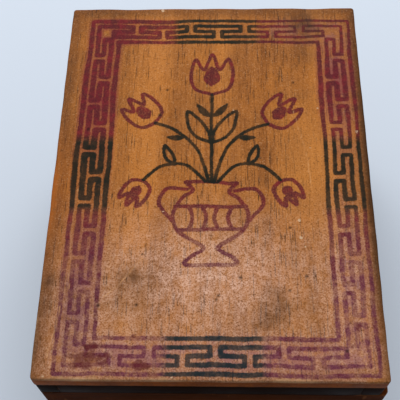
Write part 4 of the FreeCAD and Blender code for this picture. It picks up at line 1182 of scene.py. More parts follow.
# %% Discs, dowel and packing
BARE_COLOURS = (paint(190, 150, 102), paint(150, 110, 70), paint(204, 168, 124))
BARE_EASE = 0.2 * MM
BARE_PIECES = (("base_disc", "spring_base_disc", "box"), ("cap_disc", "spring_cap_disc", "jack"),
               ("neck_peg", "neck_dowel", "jack"), ("catch_packing", "catch_packing_strip", "box"))
for node, name, body in BARE_PIECES:
    piece = eased(node, BARE_EASE, name)
    dress(piece, board_finish(f"bare {node}", BARE_COLOURS, 0, node, roughness=0.7), node)
    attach(piece, body)

# %% [markdown]
# The spring is steel wire in six turns. A curve with a bevel could make it, but the Screw modifier is
# quicker: a small circle, set on the coil's radius, is turned and lifted round the axis.


# %% Coil spring
def hoop(name, count, radius, middle, tilt=(0, 0, 0)):
    """Circle of a number of points, with its place and tilt in its mesh."""
    deselect()
    bpy.ops.mesh.primitive_circle_add(vertices=count, radius=radius, location=middle, rotation=tilt)
    return settle(named(name))


WIRE = 0.5 * MM
COIL = 12.0 * MM
TURNS = 6
SIDES_OF_WIRE = 10
STEPS_OF_TURN = 40
spring_low, spring_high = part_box("pop_spring")
coil_low, coil_high = spring_low.z + WIRE, spring_high.z - WIRE
turn_rise = (coil_high - coil_low) / TURNS
spring = hoop("coil_spring", SIDES_OF_WIRE, WIRE, (COIL, 0, coil_low), tilt=(math.pi / 2, 0, 0))
apply_modifier(spring, "SCREW", axis="Z", angle=2 * math.pi, screw_offset=turn_rise, iterations=TURNS,
               steps=STEPS_OF_TURN, render_steps=STEPS_OF_TURN)
edit(spring)
bpy.ops.mesh.fill_holes(sides=SIDES_OF_WIRE + 2)
smooth(close(spring), 50)
dress(spring, steel, "pop_spring")
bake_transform(spring)

# %% [markdown]
# ## Cloth
# Cotton and felt are used for the sleeve, the ruff, the hat and the arms. Close up they are threads with a
# soft nap and some grime, whatever their dye. That is one more group: it takes a dyed colour and gives back
# a woven one, with its roughness and its height.

# %% Weave
weave, recipe, taken, given = new_group(
    "weave", {"Place": VECTOR, "Dye": COLOUR}, {"Colour": COLOUR, "Roughness": FLOAT, "Height": FLOAT})
fibre = recipe.noise(taken["Place"], 5200.0, 2.0, 0.7)
nap = recipe.noise(taken["Place"], 1900.0, 3.0, 0.65)
grime = recipe.noise(taken["Place"], 160.0, 3.0, 0.6)
cloth = Coats(recipe, taken["Dye"])
cloth.lay(recipe.fade(nap, 0.4, 0.75, 0.0, 0.07), paint(236, 220, 200))
cloth.lay(recipe.fade(fibre, 0.3, 0.7, 0.0, 0.22), paint(20, 14, 12))
cloth.lay(recipe.fade(grime, 0.45, 0.8, 0.0, 0.3), paint(120, 92, 70))
recipe.fill(given, {"Colour": cloth.colour, "Roughness": recipe.fade(fibre, 0.2, 0.8, 0.8, 0.95),
                    "Height": recipe.plus(fibre, recipe.times(nap, 1.5))})
print("group:", weave.name, "with", len(weave.nodes), "nodes")

# %% [markdown]
# Each cloth has two dyes, shared out by a pattern of the place. Stripes round the axis and a slow fading are
# used by several cloths, so each is a small group. The stripes also take their number. A cloth with one dye
# has only the fading, between that dye and a deeper one.

# %% Patterns of cloth
striping, recipe, taken, given = new_group("stripes", {"Place": VECTOR, "Count": FLOAT}, {"Share": FLOAT})
x, y, _ = recipe.split(taken["Place"])
wave = recipe.math("SINE", recipe.times(recipe.math("ARCTAN2", y, x), taken["Count"]))
recipe.fill(given, {"Share": recipe.fade(wave, -0.2, 0.2)})
fading, recipe, taken, given = new_group("fading", {"Place": VECTOR}, {"Share": FLOAT})
recipe.fill(given, {"Share": recipe.fade(recipe.noise(taken["Place"], 220.0, 4.0, 0.6), 0.3, 0.7)})


def stripes(count):
    """Pattern of upright stripes round the Z axis."""
    def pattern(recipe, spot):
        return use(recipe, striping, {"Place": spot, "Count": float(count)})["Share"]
    return pattern


def plain(recipe, spot):
    """Pattern for cloth of one dye: only its slow fading."""
    return use(recipe, fading, {"Place": spot})["Share"]


print("groups:", striping.name, "and", fading.name)

# %% [markdown]
# A finish of cloth is then a pattern, two dyes, the weave, and a soft sheen for the loose fibres. Velvet
# shading by angle could give that look, but the shader's own sheen does it with one number. The dyes follow
# the inks of the lid, with cream beside them.


# %% Dyed cloth
def cloth_finish(name, first, second, pattern, fuzz=0.25):
    """Woven cloth: two colours shared out by a pattern of the place, with a soft sheen."""
    material, recipe, shader = new_material(name)
    spot = recipe.place()
    dye = recipe.mix(pattern(recipe, spot), first, second)
    woven = use(recipe, weave, {"Place": spot, "Dye": dye})
    recipe.fill(shader, {"Base Color": woven["Colour"], "Roughness": woven["Roughness"],
                         "Normal": bump(recipe, woven["Height"], 0.6, 0.10 * MM),
                         "Sheen Weight": fuzz, "Specular IOR Level": 0.15})
    return material


RED, DEEP_RED = paint(132, 34, 42), paint(104, 24, 34)
GREEN, DEEP_GREEN = paint(46, 72, 56), paint(32, 52, 42)
CREAM, DEEP_CREAM = paint(226, 210, 178), paint(204, 184, 148)
print("dyes: red, green and cream, each with a deeper one")

# %% [markdown]
# ## Sleeve
# A cloth sleeve hides the spring. It lies in concertina folds while the lid is shut and pulls out when the
# jester rises. A cloth simulation could fold it, but it takes many frames and is hard to steer. So one circle
# is extruded up, ring by ring, in and out, and the folds are all there when the sleeve is pulled.


# %% Rings of the sleeve
def ring_tube(name, rings, count):
    """Circle extruded through rings, each with a radius and a height."""
    piece = hoop(name, count, rings[0][0], (0, 0, rings[0][1]))
    edit(piece)
    for (near, low), (far, high) in zip(rings, rings[1:]):
        bpy.ops.mesh.extrude_edges_move(TRANSFORM_OT_translate={"value": (0, 0, high - low)})
        bpy.ops.transform.resize(value=(far / near, far / near, 1), center_override=(0, 0, high))
    return close(piece)


CLOTH = 0.4 * MM
DISC_GAP = 0.15 * MM
BOUND_LENGTH = 1.2 * MM
FOLDS = 9
RING_STEPS = 10
SIDES_OF_SLEEVE = 120
sleeve_low, sleeve_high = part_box("jack_sleeve")
fold_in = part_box("base_disc")[1].x + DISC_GAP + CLOTH / 2
fold_out = sleeve_high.x - CLOTH / 2
fold_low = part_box("base_disc")[1].z + BOUND_LENGTH
fold_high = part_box("cap_disc")[0].z - BOUND_LENGTH
rings = [(fold_in, sleeve_low.z), (fold_in, fold_low)]
for step in range(1, FOLDS * RING_STEPS + 1):
    wave = 0.5 - 0.5 * math.cos(2 * math.pi * step / RING_STEPS)
    height = fold_low + (fold_high - fold_low) * step / (FOLDS * RING_STEPS)
    rings.append((fold_in + (fold_out - fold_in) * wave, height))
rings.append((fold_in, sleeve_high.z))
sleeve = ring_tube("folded_sleeve", rings, SIDES_OF_SLEEVE)
measure(sleeve)

# %% [markdown]
# Rings from a machine look like a machine's. A noise pulls each fold in and out a little and lets it sag,
# most at its outer edge, where nothing holds it. Solidify then gives the cloth its thickness.


# %% Slack in the sleeve
def reshape(piece, push):
    """Moves every point of a piece by what a rule says for its place."""
    points = points_of(piece)
    move_points(piece, points + np.array([push(Vector(point)) for point in points]))


PULL, PULL_SIZE, PULL_SHIFT = 0.018, 5 * MM, Vector((3, 1, 8))
SAG, SAG_SIZE, SAG_SHIFT = 0.35 * MM, 7 * MM, Vector((1, 5, 2))


def slacken(place):
    """Pull and sag of the cloth, more towards the outer edge of a fold."""
    deep = (math.hypot(place.x, place.y) - fold_in) / (fold_out - fold_in)
    pull = PULL * deep * noise.noise(place / PULL_SIZE + PULL_SHIFT)
    loose = Vector((place.x * (1 + pull), place.y * (1 + pull), 0))
    sag = SAG * deep * noise.noise(loose / SAG_SIZE + SAG_SHIFT)
    return Vector((place.x * pull, place.y * pull, sag))


reshape(sleeve, slacken)
apply_modifier(sleeve, "SOLIDIFY", thickness=CLOTH, offset=0)
smooth(sleeve, 80)
dress(sleeve, cloth_finish("striped sleeve cotton", CREAM, RED, stripes(10)), "jack_sleeve")
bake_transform(sleeve)

# %% [markdown]
# Two braid tapes bind the sleeve to its discs. A plain ring would look like metal, so a tape is a short tube
# with its middle bulged a little, as braid under tension is. The lower one stays with the box and the upper
# one goes up with the jester.

# %% Binding tapes
TAPE_BULGE = 0.12 * MM
TAPE_EDGE = 0.5 * MM
TAPE_INSET, TAPE_THICKNESS = 0.3 * MM, 0.45 * MM
SIDES_OF_TAPE = 96
for node, name, body in (("lower_binding", "lower_tape", "box"), ("upper_binding", "upper_tape", "jack")):
    low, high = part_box(node)
    wide = high.x - TAPE_INSET
    narrow = wide - TAPE_BULGE
    tape = ring_tube(name, [(narrow, low.z), (wide, low.z + TAPE_EDGE), (wide, high.z - TAPE_EDGE),
                            (narrow, high.z)], SIDES_OF_TAPE)
    apply_modifier(tape, "SOLIDIFY", thickness=TAPE_THICKNESS, offset=0)
    smooth(tape, 60)
    dress(tape, cloth_finish(f"{name} braid", GREEN, DEEP_GREEN, stripes(64)), node)
    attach(tape, body)

# %% [markdown]
# ## The jester's head
# The head is a turned wooden ball with a little carving: hollows for the eyes, round cheeks, a chin and a
# line for the mouth. Sculpting would do, but a few soft hills, pushed in or out from the ball, are enough
# for a toy and stay even on both sides. The ball is cut level where it meets the neck.

# %% Head
head_low, head_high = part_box("jack_head")
HEAD_RADIUS = (head_high.x - head_low.x) / 2
HEAD = Vector((0, 0, head_high.z - HEAD_RADIUS))
NECK_CUT = head_low.z + 0.6 * MM
EYES = [(-4.3, -0.2), (4.3, -0.2)]
CHEEKS = [(-6.6, -3.2), (6.6, -3.2)]
CARVING = [(eye, (1.9, 1.7), -0.45) for eye in EYES] + [(cheek, (2.8, 2.4), 0.4) for cheek in CHEEKS]
CARVING += [((0, -9.4), (3.2, 1.8), 0.6), ((0, -6.6), (4.0, 0.9), -0.25)]


def carve(place):
    """Push along the ball's radius, on the front of the head only."""
    outward = (place - HEAD).normalized()
    seen = np.array([[(place.x - HEAD.x) / MM, (place.z - HEAD.z) / MM]])
    facing = min(1.0, max(0.0, -2 * outward.y))
    return outward * (soft_patches(seen, CARVING)[0] * facing * MM)


def ball(name, segments, rings, radius, middle, tilt=(0, 0, 0)):
    """Ball of segments and rings, with its place and tilt in its mesh."""
    deselect()
    bpy.ops.mesh.primitive_uv_sphere_add(segments=segments, ring_count=rings, radius=radius,
                                         location=middle, rotation=tilt)
    return settle(named(name))


head = ball("painted_head", segments=96, rings=64, radius=HEAD_RADIUS, middle=HEAD)
edit(head)
bpy.ops.mesh.bisect(plane_co=(0, 0, NECK_CUT), plane_no=(0, 0, 1), clear_inner=True, use_fill=True)
reshape(close(head), carve)
measure(smooth(head, 60))

# %% [markdown]
# The face is paint. A picture would need an unwrapped ball. Here each dot or line is a mask of the place,
# seen from the front: an oval is found by its distance from a middle, and an arc is a part of a ring.


# %% Masks on the face
def oval_gap(recipe, spot, middle, size):
    """Distance from an oval's middle on the face, which is 1 on its outline."""
    x, _, z = recipe.split(spot)
    across = recipe.math("DIVIDE", recipe.minus(x, HEAD.x + middle[0] * MM), size[0] * MM)
    up = recipe.math("DIVIDE", recipe.minus(z, HEAD.z + middle[1] * MM), size[1] * MM)
    return recipe.math("SQRT", recipe.plus(recipe.times(across, across), recipe.times(up, up)))


def on_front(recipe, spot, mask):
    """Keeps a mask to the front of the head."""
    return recipe.times(mask, recipe.fade(recipe.split(spot)[1], HEAD.y - 1 * MM, HEAD.y - 3 * MM))


def oval(recipe, spot, middle, size, softness=0.15):
    """Mask of an upright oval, in millimetres from the middle of the head."""
    gap = oval_gap(recipe, spot, middle, size)
    return on_front(recipe, spot, recipe.fade(gap, 1 + softness, 1 - softness))


def arc(recipe, spot, middle, radius, width, limit, upper):
    """Mask of the part of a ring above or below a height."""
    off_line = recipe.math("ABSOLUTE", recipe.minus(oval_gap(recipe, spot, middle, (radius, radius)), 1.0))
    line = recipe.fade(off_line, 1.3 * width / radius, 0.7 * width / radius)
    soft_end = 0.25 * MM if upper else -0.25 * MM
    end = HEAD.z + limit * MM
    kept = recipe.fade(recipe.split(spot)[2], end - soft_end, end + soft_end)
    return on_front(recipe, spot, recipe.times(line, kept))


print("face seen from the front,", round(2 * HEAD_RADIUS / MM), "mm wide")

# %% [markdown]
# The paint goes on as a painter would lay it: skin first, then rosy cheeks, the whites of the eyes, the
# pupils with a glint, thin brows and a calm smile. Fine cracks in the old paint lie over everything, so that
# the face is as old as its box.

# %% Face paint
CHEEK, EYE_WHITE, PUPIL, GLINT = (2.7, 2.4), (1.75, 1.45), (1.0, 1.25), (0.3, 0.3)
face, recipe, shader = new_material("painted face")
spot = recipe.place()
brushed = recipe.noise(stretched(recipe, spot, (1.0, 1.0, 3.0)), 260.0, 4.0, 0.6)
skin = Coats(recipe, recipe.mix(recipe.fade(brushed, 0.3, 0.7), paint(222, 172, 132), paint(232, 190, 152)))
for cheek in CHEEKS:
    skin.lay(recipe.times(oval(recipe, spot, cheek, CHEEK, softness=0.5), 0.6), paint(206, 92, 84))
for across, up in EYES:
    skin.lay(oval(recipe, spot, (across, up), EYE_WHITE), paint(240, 232, 216))
    skin.lay(oval(recipe, spot, (across, up), PUPIL), paint(52, 36, 28))
    skin.lay(oval(recipe, spot, (across + 0.35, up + 0.45), GLINT), paint(248, 244, 236))
    brow = arc(recipe, spot, (across, up - 0.4), radius=2.35, width=0.17, limit=up + 1.25, upper=True)
    skin.lay(brow, paint(74, 48, 34))
smile = arc(recipe, spot, (0, -1.4), radius=5.3, width=0.28, limit=-4.6, upper=False)
skin.lay(smile, paint(150, 40, 44))
cracked = recipe.noise(spot, 1400.0, 4.0, 0.7)
skin.lay(recipe.fade(cracked, 0.66, 0.74, 0.0, 0.45), paint(150, 104, 70))
recipe.fill(shader, {"Base Color": skin.colour, "Roughness": recipe.fade(brushed, 0.2, 0.8, 0.35, 0.5),
                     "Normal": bump(recipe, brushed, 0.2, 0.05 * MM)})
dress(head, face, "jack_head")
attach(head, "jack")

# %% [markdown]
# The nose is a red wooden bead, glued on. It could be carved with the face, but a bead of its own has a clean
# edge: a small ball, cut flat where it meets the face. Its paint has worn through in spots, which a sharp
# fade of a noise gives.

# %% Nose
nose_low, nose_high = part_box("jack_nose")
nose_radius = (nose_high.x - nose_low.x) / 2
nose_middle = Vector((0, nose_low.y + nose_radius, nose_low.z + nose_radius))
nose = ball("nose_bead", segments=40, rings=24, radius=nose_radius, middle=nose_middle,
            tilt=(math.pi / 2, 0, 0))
edit(nose)
bpy.ops.mesh.bisect(plane_co=(0, nose_high.y, 0), plane_no=(0, 1, 0), clear_outer=True, use_fill=True)
smooth(close(nose), 60)
red_paint, recipe, shader = new_material("red nose paint")
bare = recipe.fade(recipe.noise(recipe.place(), 900.0, 4.0, 0.65), 0.6, 0.72)
recipe.fill(shader, {"Base Color": recipe.mix(bare, paint(168, 40, 40), paint(196, 120, 84)),
                     "Roughness": recipe.fade(bare, 0.0, 1.0, 0.3, 0.6)})
dress(nose, red_paint, "jack_nose")
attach(nose, "jack")

# %% [markdown]
# ## Ruff
# A round cotton collar sits on the upper disc. Real pleats would be sewn one by one, and a cloth simulation
# would need the stitches. A rule is enough here: it lifts flat cloth into a shallow bowl, with waves that
# grow towards the edge and aren't all alike.

# %% Waves of the ruff
RUFF_WAVES = 14
FLAT_RADIUS = 9 * MM
BOWL_RISE, BOWL_CURVE = 3.4, 1.4
WAVE_RISE, INNER_WAVE, UNEVEN_WAVE = 1.15, 0.12, 0.5
RUFF_INSET = 0.1 * MM
ruff_low, ruff_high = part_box("jack_ruff")
ruff_out = ruff_high.x - RUFF_INSET


def ruffle(place):
    """Rise of the collar at a place: a bowl, and waves round it."""
    radius = math.hypot(place.x, place.y)
    angle = math.atan2(place.y, place.x)
    rise = min(max((radius - FLAT_RADIUS) / (ruff_out - FLAT_RADIUS), 0.0), 1.0)
    wave = math.cos(RUFF_WAVES * angle + UNEVEN_WAVE * math.sin(3 * angle))
    waves = WAVE_RISE * wave * rise + INNER_WAVE * (wave + 1) * radius / ruff_out
    return Vector((0, 0, (BOWL_RISE * rise ** BOWL_CURVE + waves) * MM))


print("rise at the edge:", round(ruffle(Vector((ruff_out, 0, 0))).z / MM, 2), "mm")

# %% [markdown]
# The cloth starts as rings at one height, from the neck peg outwards, and the rule lifts it. Solidify comes
# afterwards, so that the cloth is equally thick on every wave. A green border is woven in along the edge.

# %% Ruff
RUFF_STEPS = 14
SIDES_OF_RUFF = 224
PEG_GAP, LAID_HEIGHT = 0.3 * MM, 0.6 * MM
ruff_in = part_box("neck_peg")[1].x + PEG_GAP


def edged(recipe, spot):
    """Pattern of a coloured edge on a round collar."""
    x, y, _ = recipe.split(spot)
    radius = recipe.math("SQRT", recipe.plus(recipe.times(x, x), recipe.times(y, y)))
    return recipe.fade(radius, ruff_out - 1.5 * MM, ruff_out - 1.2 * MM)


widths = [ruff_in + (ruff_out - ruff_in) * step / RUFF_STEPS for step in range(RUFF_STEPS + 1)]
ruff = ring_tube("pleated_ruff", [(width, ruff_low.z + LAID_HEIGHT) for width in widths], SIDES_OF_RUFF)
reshape(ruff, ruffle)
apply_modifier(ruff, "SOLIDIFY", thickness=CLOTH, offset=0)
smooth(ruff, 70)
dress(ruff, cloth_finish("starched ruff cotton", CREAM, GREEN, edged), "jack_ruff")
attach(ruff, "jack")

# %% [markdown]
# ## Hat
# The cap is thick felt, sewn along the middle and rolled at its edge. Brushes could shape it, but a rule is
# the same all round: it presses in the seam, swells the roll, leaves a groove above it and adds slight
# dents. It moves only the outside, so that the cap still fits on the head.

# %% Swell of the felt
crown_low, crown_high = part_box("hat_crown")
CROWN_RADIUS = crown_high.z - HEAD.z
HEAD_GAP = 0.15 * MM
FELT = CROWN_RADIUS - HEAD_RADIUS - HEAD_GAP
SEAM_WIDTH = 0.45 * MM
DENT_SIZE = 6 * MM
DENT_PUSH, SEAM_PUSH, ROLL_PUSH, GROOVE_PUSH = 0.12, -0.25, 0.5, -0.2
# The roll and the groove above it each have a height over the cap's edge and a width, in millimetres.
ROLL, GROOVE = (0.8, 0.6), (2.0, 0.4)


def felt_swell(place):
    """Push along the ball's radius on the outside of the cap."""
    outward = place - HEAD
    if outward.length <= CROWN_RADIUS - 0.5 * FELT:
        return Vector()
    rise = (place.z - crown_low.z) / MM
    push = DENT_PUSH * noise.noise(place / DENT_SIZE)
    push += SEAM_PUSH * math.exp(-(place.x / SEAM_WIDTH) ** 2)
    for strength, (height, width) in ((ROLL_PUSH, ROLL), (GROOVE_PUSH, GROOVE)):
        push += strength * math.exp(-((rise - height) / width) ** 2)
    return outward.normalized() * (push * MM)


print("thickness of the felt:", round(FELT / MM, 2), "mm")

# %% [markdown]
# The cap has two colours. It could be two halves, but then the seam between them would have to be closed. So
# it is the upper part of one ball, cut off level. Solidify gives it the thickness of felt, and a bevel
# softens its edge before the rule swells it.

# %% Cap
FELT_EASE = 0.3 * MM


def halves(recipe, spot):
    """Pattern of two halves, left and right."""
    return recipe.fade(recipe.split(spot)[0], -0.1 * MM, 0.1 * MM)


cap = ball("felt_cap", segments=96, rings=140, radius=CROWN_RADIUS, middle=HEAD)
edit(cap)
bpy.ops.mesh.bisect(plane_co=(0, 0, crown_low.z), plane_no=(0, 0, 1), clear_inner=True)
bpy.ops.object.mode_set(mode="OBJECT")
apply_modifier(cap, "SOLIDIFY", thickness=FELT, offset=-1)
apply_modifier(cap, "BEVEL", width=FELT_EASE, segments=3, limit_method="ANGLE", angle_limit=math.radians(50))
reshape(cap, felt_swell)
smooth(cap, 50)
dress(cap, cloth_finish("two coloured felt", GREEN, RED, halves, fuzz=0.5), "hat_crown")
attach(cap, "jack")

# %% [markdown]
# Two stuffed points droop from the cap. A cone could be bent with a modifier, but then it is hard to keep its
# root on the cap. So the middle line is worked out first: an arc that starts at the cap, rises a little and
# turns down, with rings that shrink towards the tip.

# %% Middle line of a hat point
# The root's reach from the middle of the head and the bend are in millimetres, the angles in degrees.
ROOT_REACH, ROOT_HEIGHT = 12.35, 35
BEND_RADIUS = 12
START_LEAN, POINT_TURN = 20, 115
POINT_STEPS = 28
ROOT_RADIUS, TIP_RADIUS = 4.6 * MM, 1.3 * MM


def point_stop(share, sign):
    """Middle, lean and radius of a ring at a share of the way to the tip."""
    lean, start = math.radians(START_LEAN - POINT_TURN * share), math.radians(START_LEAN)
    root = math.radians(ROOT_HEIGHT)
    x = ROOT_REACH * math.cos(root) + BEND_RADIUS * (math.sin(start) - math.sin(lean))
    z = ROOT_REACH * math.sin(root) + BEND_RADIUS * (math.cos(lean) - math.cos(start))
    middle = Vector((sign * x * MM, 0, z * MM)) + HEAD
    return middle, sign * lean, ROOT_RADIUS + (TIP_RADIUS - ROOT_RADIUS) * share


print("length of a point:", round(math.radians(POINT_TURN) * BEND_RADIUS, 1), "mm along its middle")

# %% [markdown]
# A point starts as a filled circle and is extruded along that line. Every step moves the last ring on, turns
# it with the arc and scales it. A curve with a bevel and a taper could give the same shape, but it would have
# to be made a mesh before it gets its lumps. Arms and thumbs are drawn out in the same way later.


# %% Draw out a point
def draw_out(stops):
    """Extrudes the selected face through stops, each with a middle, a lean and a radius."""
    for (near, lean, radius), (far, next_lean, next_radius) in zip(stops, stops[1:]):
        bpy.ops.mesh.extrude_region_move(TRANSFORM_OT_translate={"value": far - near})
        bpy.ops.transform.rotate(value=next_lean - lean, orient_axis="Y", center_override=far)
        bpy.ops.transform.resize(value=(next_radius / radius,) * 3, center_override=far)


def felt_point(side, sign):
    """Stuffed point of the hat, on the left (-1) or the right (1)."""
    stops = [point_stop(step / POINT_STEPS, sign) for step in range(POINT_STEPS + 1)]
    start, lean, radius = stops[0]
    tilt = (0, sign * math.pi / 2 - lean, 0)
    piece = hoop(f"felt_point_{side}", count=40, radius=radius, middle=start, tilt=tilt)
    edit(piece)
    bpy.ops.mesh.edge_face_add()
    draw_out(stops)
    return close(piece)


print("rings of a point:", POINT_STEPS + 1)

# %% [markdown]
# Each point is then pushed in and out by two noises, which leaves the lumps of stuffing under felt, where a
# smooth cone would look like plastic. The left one is red and the right one green, against the halves of the
# cap.

# %% Points of the hat
# Each noise of the stuffing has a push in millimetres and a size.
LUMPS = ((0.22, 2.6 * MM), (0.10, 1.1 * MM))


def stuffing(sign):
    """Rule for the lumps of a stuffed point."""
    def swell(place):
        lump = sum(push * noise.noise(place / size) for push, size in LUMPS)
        outward = Vector((place.x - sign * BEND_RADIUS * MM, place.y, place.z - HEAD.z)).normalized()
        return outward * (lump * MM)
    return swell


for side, sign, dyes in (("left", -1, (RED, DEEP_RED)), ("right", 1, (GREEN, DEEP_GREEN))):
    horn = felt_point(side, sign)
    reshape(horn, stuffing(sign))
    smooth(horn, 60)
    dress(horn, cloth_finish(f"felt {side}", *dyes, plain, fuzz=0.5), f"hat_point_{side}")
    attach(horn, "jack")

# %% [markdown]
# For the next pieces only some points or faces of a ball are shaped. By hand they would be clicked. In code
# they are picked by a rule on their place, which still holds when the ball is moved or gets more faces.


# %% Pick points or faces
def pick(piece, kind, wanted):
    """Opens a piece in edit mode with only the points ("VERT") or faces ("FACE") that a rule wants."""
    edit(piece)
    bpy.ops.mesh.select_mode(type=kind)
    bpy.ops.mesh.select_all(action="DESELECT")
    bpy.ops.object.mode_set(mode="OBJECT")
    if kind == "VERT":
        for vertex in piece.data.vertices:
            vertex.select = wanted(vertex.co)
    else:
        for polygon in piece.data.polygons:
            polygon.select = wanted(polygon.center)
    bpy.ops.object.mode_set(mode="EDIT")


front_faces = sum(polygon.center.y < HEAD.y for polygon in head.data.polygons)
print("a rule on places finds", front_faces, "faces on the front of the head")

# %% [markdown]
# A round brass bell hangs from each point. Pressed bells have a raised seam round the middle and a slot
# below. A boolean could cut the slot, but a ball already has faces in the right place: the slot is a row of
# them pushed inwards, and the seam is the ball's widest ring, scaled up a little.

# %% Bells
BELL_RADIUS = 2.4 * MM
SEAM_GROWTH = 1.06
SLOT_HALF, SLOT_DEPTH = 0.3 * MM, 0.5 * MM
SLOT_TOP = -0.5 * BELL_RADIUS
RING_GAP = 0.05 * MM
bells_low, bells_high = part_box("hat_bells")
bells = []
for sign in (-1, 1):
    middle = Vector((sign * (bells_high.x - BELL_RADIUS), 0, bells_low.z + BELL_RADIUS))
    bell = ball("hat_bell", segments=48, rings=32, radius=BELL_RADIUS, middle=middle)
    pick(bell, "VERT", lambda place: abs(place.z - middle.z) < RING_GAP)
    bpy.ops.transform.resize(value=(SEAM_GROWTH, SEAM_GROWTH, 1), center_override=middle)
    pick(bell, "FACE", lambda place: abs(place.y) < SLOT_HALF and place.z - middle.z < SLOT_TOP)
    bpy.ops.mesh.extrude_region_shrink_fatten(TRANSFORM_OT_shrink_fatten={"value": -SLOT_DEPTH})
    bpy.ops.mesh.select_mode(type="VERT")
    bpy.ops.object.mode_set(mode="OBJECT")
    bells.append(smooth(bell, 35))
take(bells[0])
bells[1].select_set(True)
bpy.ops.object.join()
bell_pair = named("hat_bell_pair")
dress(bell_pair, brass, "hat_bells")
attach(bell_pair, "jack")

# %% [markdown]
# ## Arms and hands
# Short arms slope down from the shoulders and end in hands. Arm and hand lie on one straight line, so this is
# worked out once for both, from the place of the measured hand. The box of the measured arm would not do,
# because a box says nothing of the slope.

# %% Line of an arm
ARM_SLOPE = math.radians(18)
ARM_REACH = 10.6 * MM
PALM_X = 27.4 * MM


def arm_line(side, sign):
    """Middle of the palm, start of the arm, direction along it, and tilt of a ring across it."""
    low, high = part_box(f"{side}_hand")
    along = Vector((sign * math.cos(ARM_SLOPE), 0, -math.sin(ARM_SLOPE)))
    palm = Vector((sign * PALM_X, 0, (low.z + high.z) / 2))
    return palm, palm - along * ARM_REACH, along, (0, sign * (math.pi / 2 + ARM_SLOPE), 0)


print("the left arm points along", [round(value, 2) for value in arm_line("left", -1)[2]])

# %% [markdown]
# The arms are little stuffed bags with a cuff. A cylinder would be too stiff. An arm is a circle, drawn out
# along its line, with rings that swell and narrow as stuffing does. One level of subdivision rounds it, and a
# noise creases it.

# %% Stuffed arm
ARM_CREASE, ARM_CREASE_SIZE = 0.16, 1.9 * MM
# Each ring has a distance along the arm and a radius, in millimetres.
ARM_RINGS = [(0.0, 2.2), (0.3, 3.0), (1.2, 3.3), (2.6, 3.25), (4.0, 2.95), (5.4, 2.85), (6.6, 2.65),
             (7.0, 2.45), (7.15, 2.75), (7.5, 3.0), (8.1, 3.0), (8.4, 2.7), (8.5, 2.0)]


def arm_piece(side, sign):
    """Stuffed arm from the shoulder to the wrist."""
    _, start, along, tilt = arm_line(side, sign)

    def crease(place):
        middle = start + along * (place - start).dot(along)
        depth = ARM_CREASE * noise.noise(place / ARM_CREASE_SIZE + Vector((sign, 2, 5)))
        return (place - middle).normalized() * (depth * MM)

    piece = hoop(f"stuffed_arm_{side}", count=36, radius=ARM_RINGS[0][1] * MM, middle=start, tilt=tilt)
    edit(piece)
    bpy.ops.mesh.edge_face_add()
    draw_out([(start + along * far * MM, 0, radius) for far, radius in ARM_RINGS])
    apply_modifier(close(piece), "SUBSURF", levels=1, render_levels=1)
    reshape(piece, crease)
    return smooth(piece, 60)


print("rings of an arm:", len(ARM_RINGS))

# %% [markdown]
# The hands are felt mittens. Fingers would be too fine for felt of this size. A mitten is a ball, flattened a
# little, with a thumb drawn out of its upper front: the faces that look that way are extruded in a few steps,
# each narrower than the last. The Smooth modifier then softens the steps.

# %% Mitten with a thumb
PALM_SHARE = 0.93
THUMB_WAY = (-0.1, -0.62, 0.78)
THUMB_FACES, THUMB_DRIFT = 0.93, 0.5
# Each step of the thumb has a length and the share of the width that is left at its end.
THUMB_STEPS = [(0.6 * MM, 0.9), (0.7 * MM, 0.95), (0.6 * MM, 0.9), (0.35 * MM, 0.72), (0.15 * MM, 0.5)]
MITTEN_SHAPE = (1.08, 0.84, 1.0)


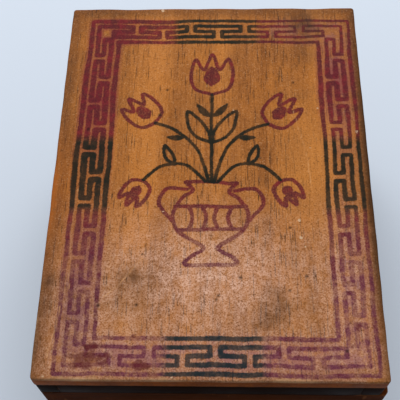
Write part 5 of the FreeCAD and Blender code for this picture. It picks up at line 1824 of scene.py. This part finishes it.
def plain_mitten(side, sign):
    """Mitten with a thumb, still without creases."""
    low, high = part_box(f"{side}_hand")
    radius = PALM_SHARE * (high.y - low.y) / 2
    palm, _, along, tilt = arm_line(side, sign)
    thumb = Vector((sign * THUMB_WAY[0], *THUMB_WAY[1:])).normalized()
    piece = ball(f"felt_mitten_{side}", segments=56, rings=40, radius=radius, middle=palm, tilt=tilt)
    pick(piece, "FACE", lambda place: (place - palm).normalized().dot(thumb) > THUMB_FACES)
    stops = [(palm + thumb * radius, 0, 1.0)]
    for length, narrowing in THUMB_STEPS:
        tip, _, width = stops[-1]
        stops.append((tip + (thumb + along * THUMB_DRIFT) * length, 0, width * narrowing))
    draw_out(stops)
    bpy.ops.mesh.select_mode(type="VERT")
    bpy.ops.mesh.select_all(action="SELECT")
    bpy.ops.transform.resize(value=MITTEN_SHAPE, center_override=palm)
    return apply_modifier(close(piece), "SMOOTH", factor=0.5, iterations=2)


print("steps of a thumb:", len(THUMB_STEPS))

# %% [markdown]
# Felt is never quite smooth. A noise creases the mitten, and a seam runs round it where its two layers are
# sewn together. Both move points straight towards the middle of the palm or away from it. A bump in the
# finish could hint at them, but it would not show at the outline.

# %% Felt mitten
FELT_CREASE, FELT_CREASE_SIZE = 0.12, 1.6 * MM
FELT_SEAM, FELT_SEAM_WIDTH = 0.14, 0.35 * MM


def hand_piece(side, sign):
    """Felt mitten with its creases and its seam."""
    palm = arm_line(side, sign)[0]

    def crease(place):
        offset = place - palm
        seam = math.exp(-(offset.y / FELT_SEAM_WIDTH) ** 2)
        lump = noise.noise(offset / FELT_CREASE_SIZE + Vector((sign, 4, 1)))
        depth = FELT_CREASE * lump - FELT_SEAM * seam
        return offset.normalized() * (depth * MM)

    piece = plain_mitten(side, sign)
    reshape(piece, crease)
    return smooth(piece, 60)


print("depth of a mitten's seam:", FELT_SEAM, "mm")

# %% [markdown]
# Left and right are made by the same two functions, with the sign of X turned round. A mirror would also give
# the second arm, but with the same creases. The arms have the dyes of the hat's points, crossed over.

# %% Arms and hands
for side, sign, dyes in (("left", -1, (GREEN, DEEP_GREEN)), ("right", 1, (RED, DEEP_RED))):
    arm = arm_piece(side, sign)
    dress(arm, cloth_finish(f"{side} arm cotton", *dyes, plain), f"{side}_arm")
    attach(arm, "jack")
    hand = hand_piece(side, sign)
    mitten_felt = cloth_finish(f"{side} mitten felt", CREAM, DEEP_CREAM, plain, fuzz=0.5)
    dress(hand, mitten_felt, f"{side}_hand")
    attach(hand, "jack")

# %% [markdown] ## Finish
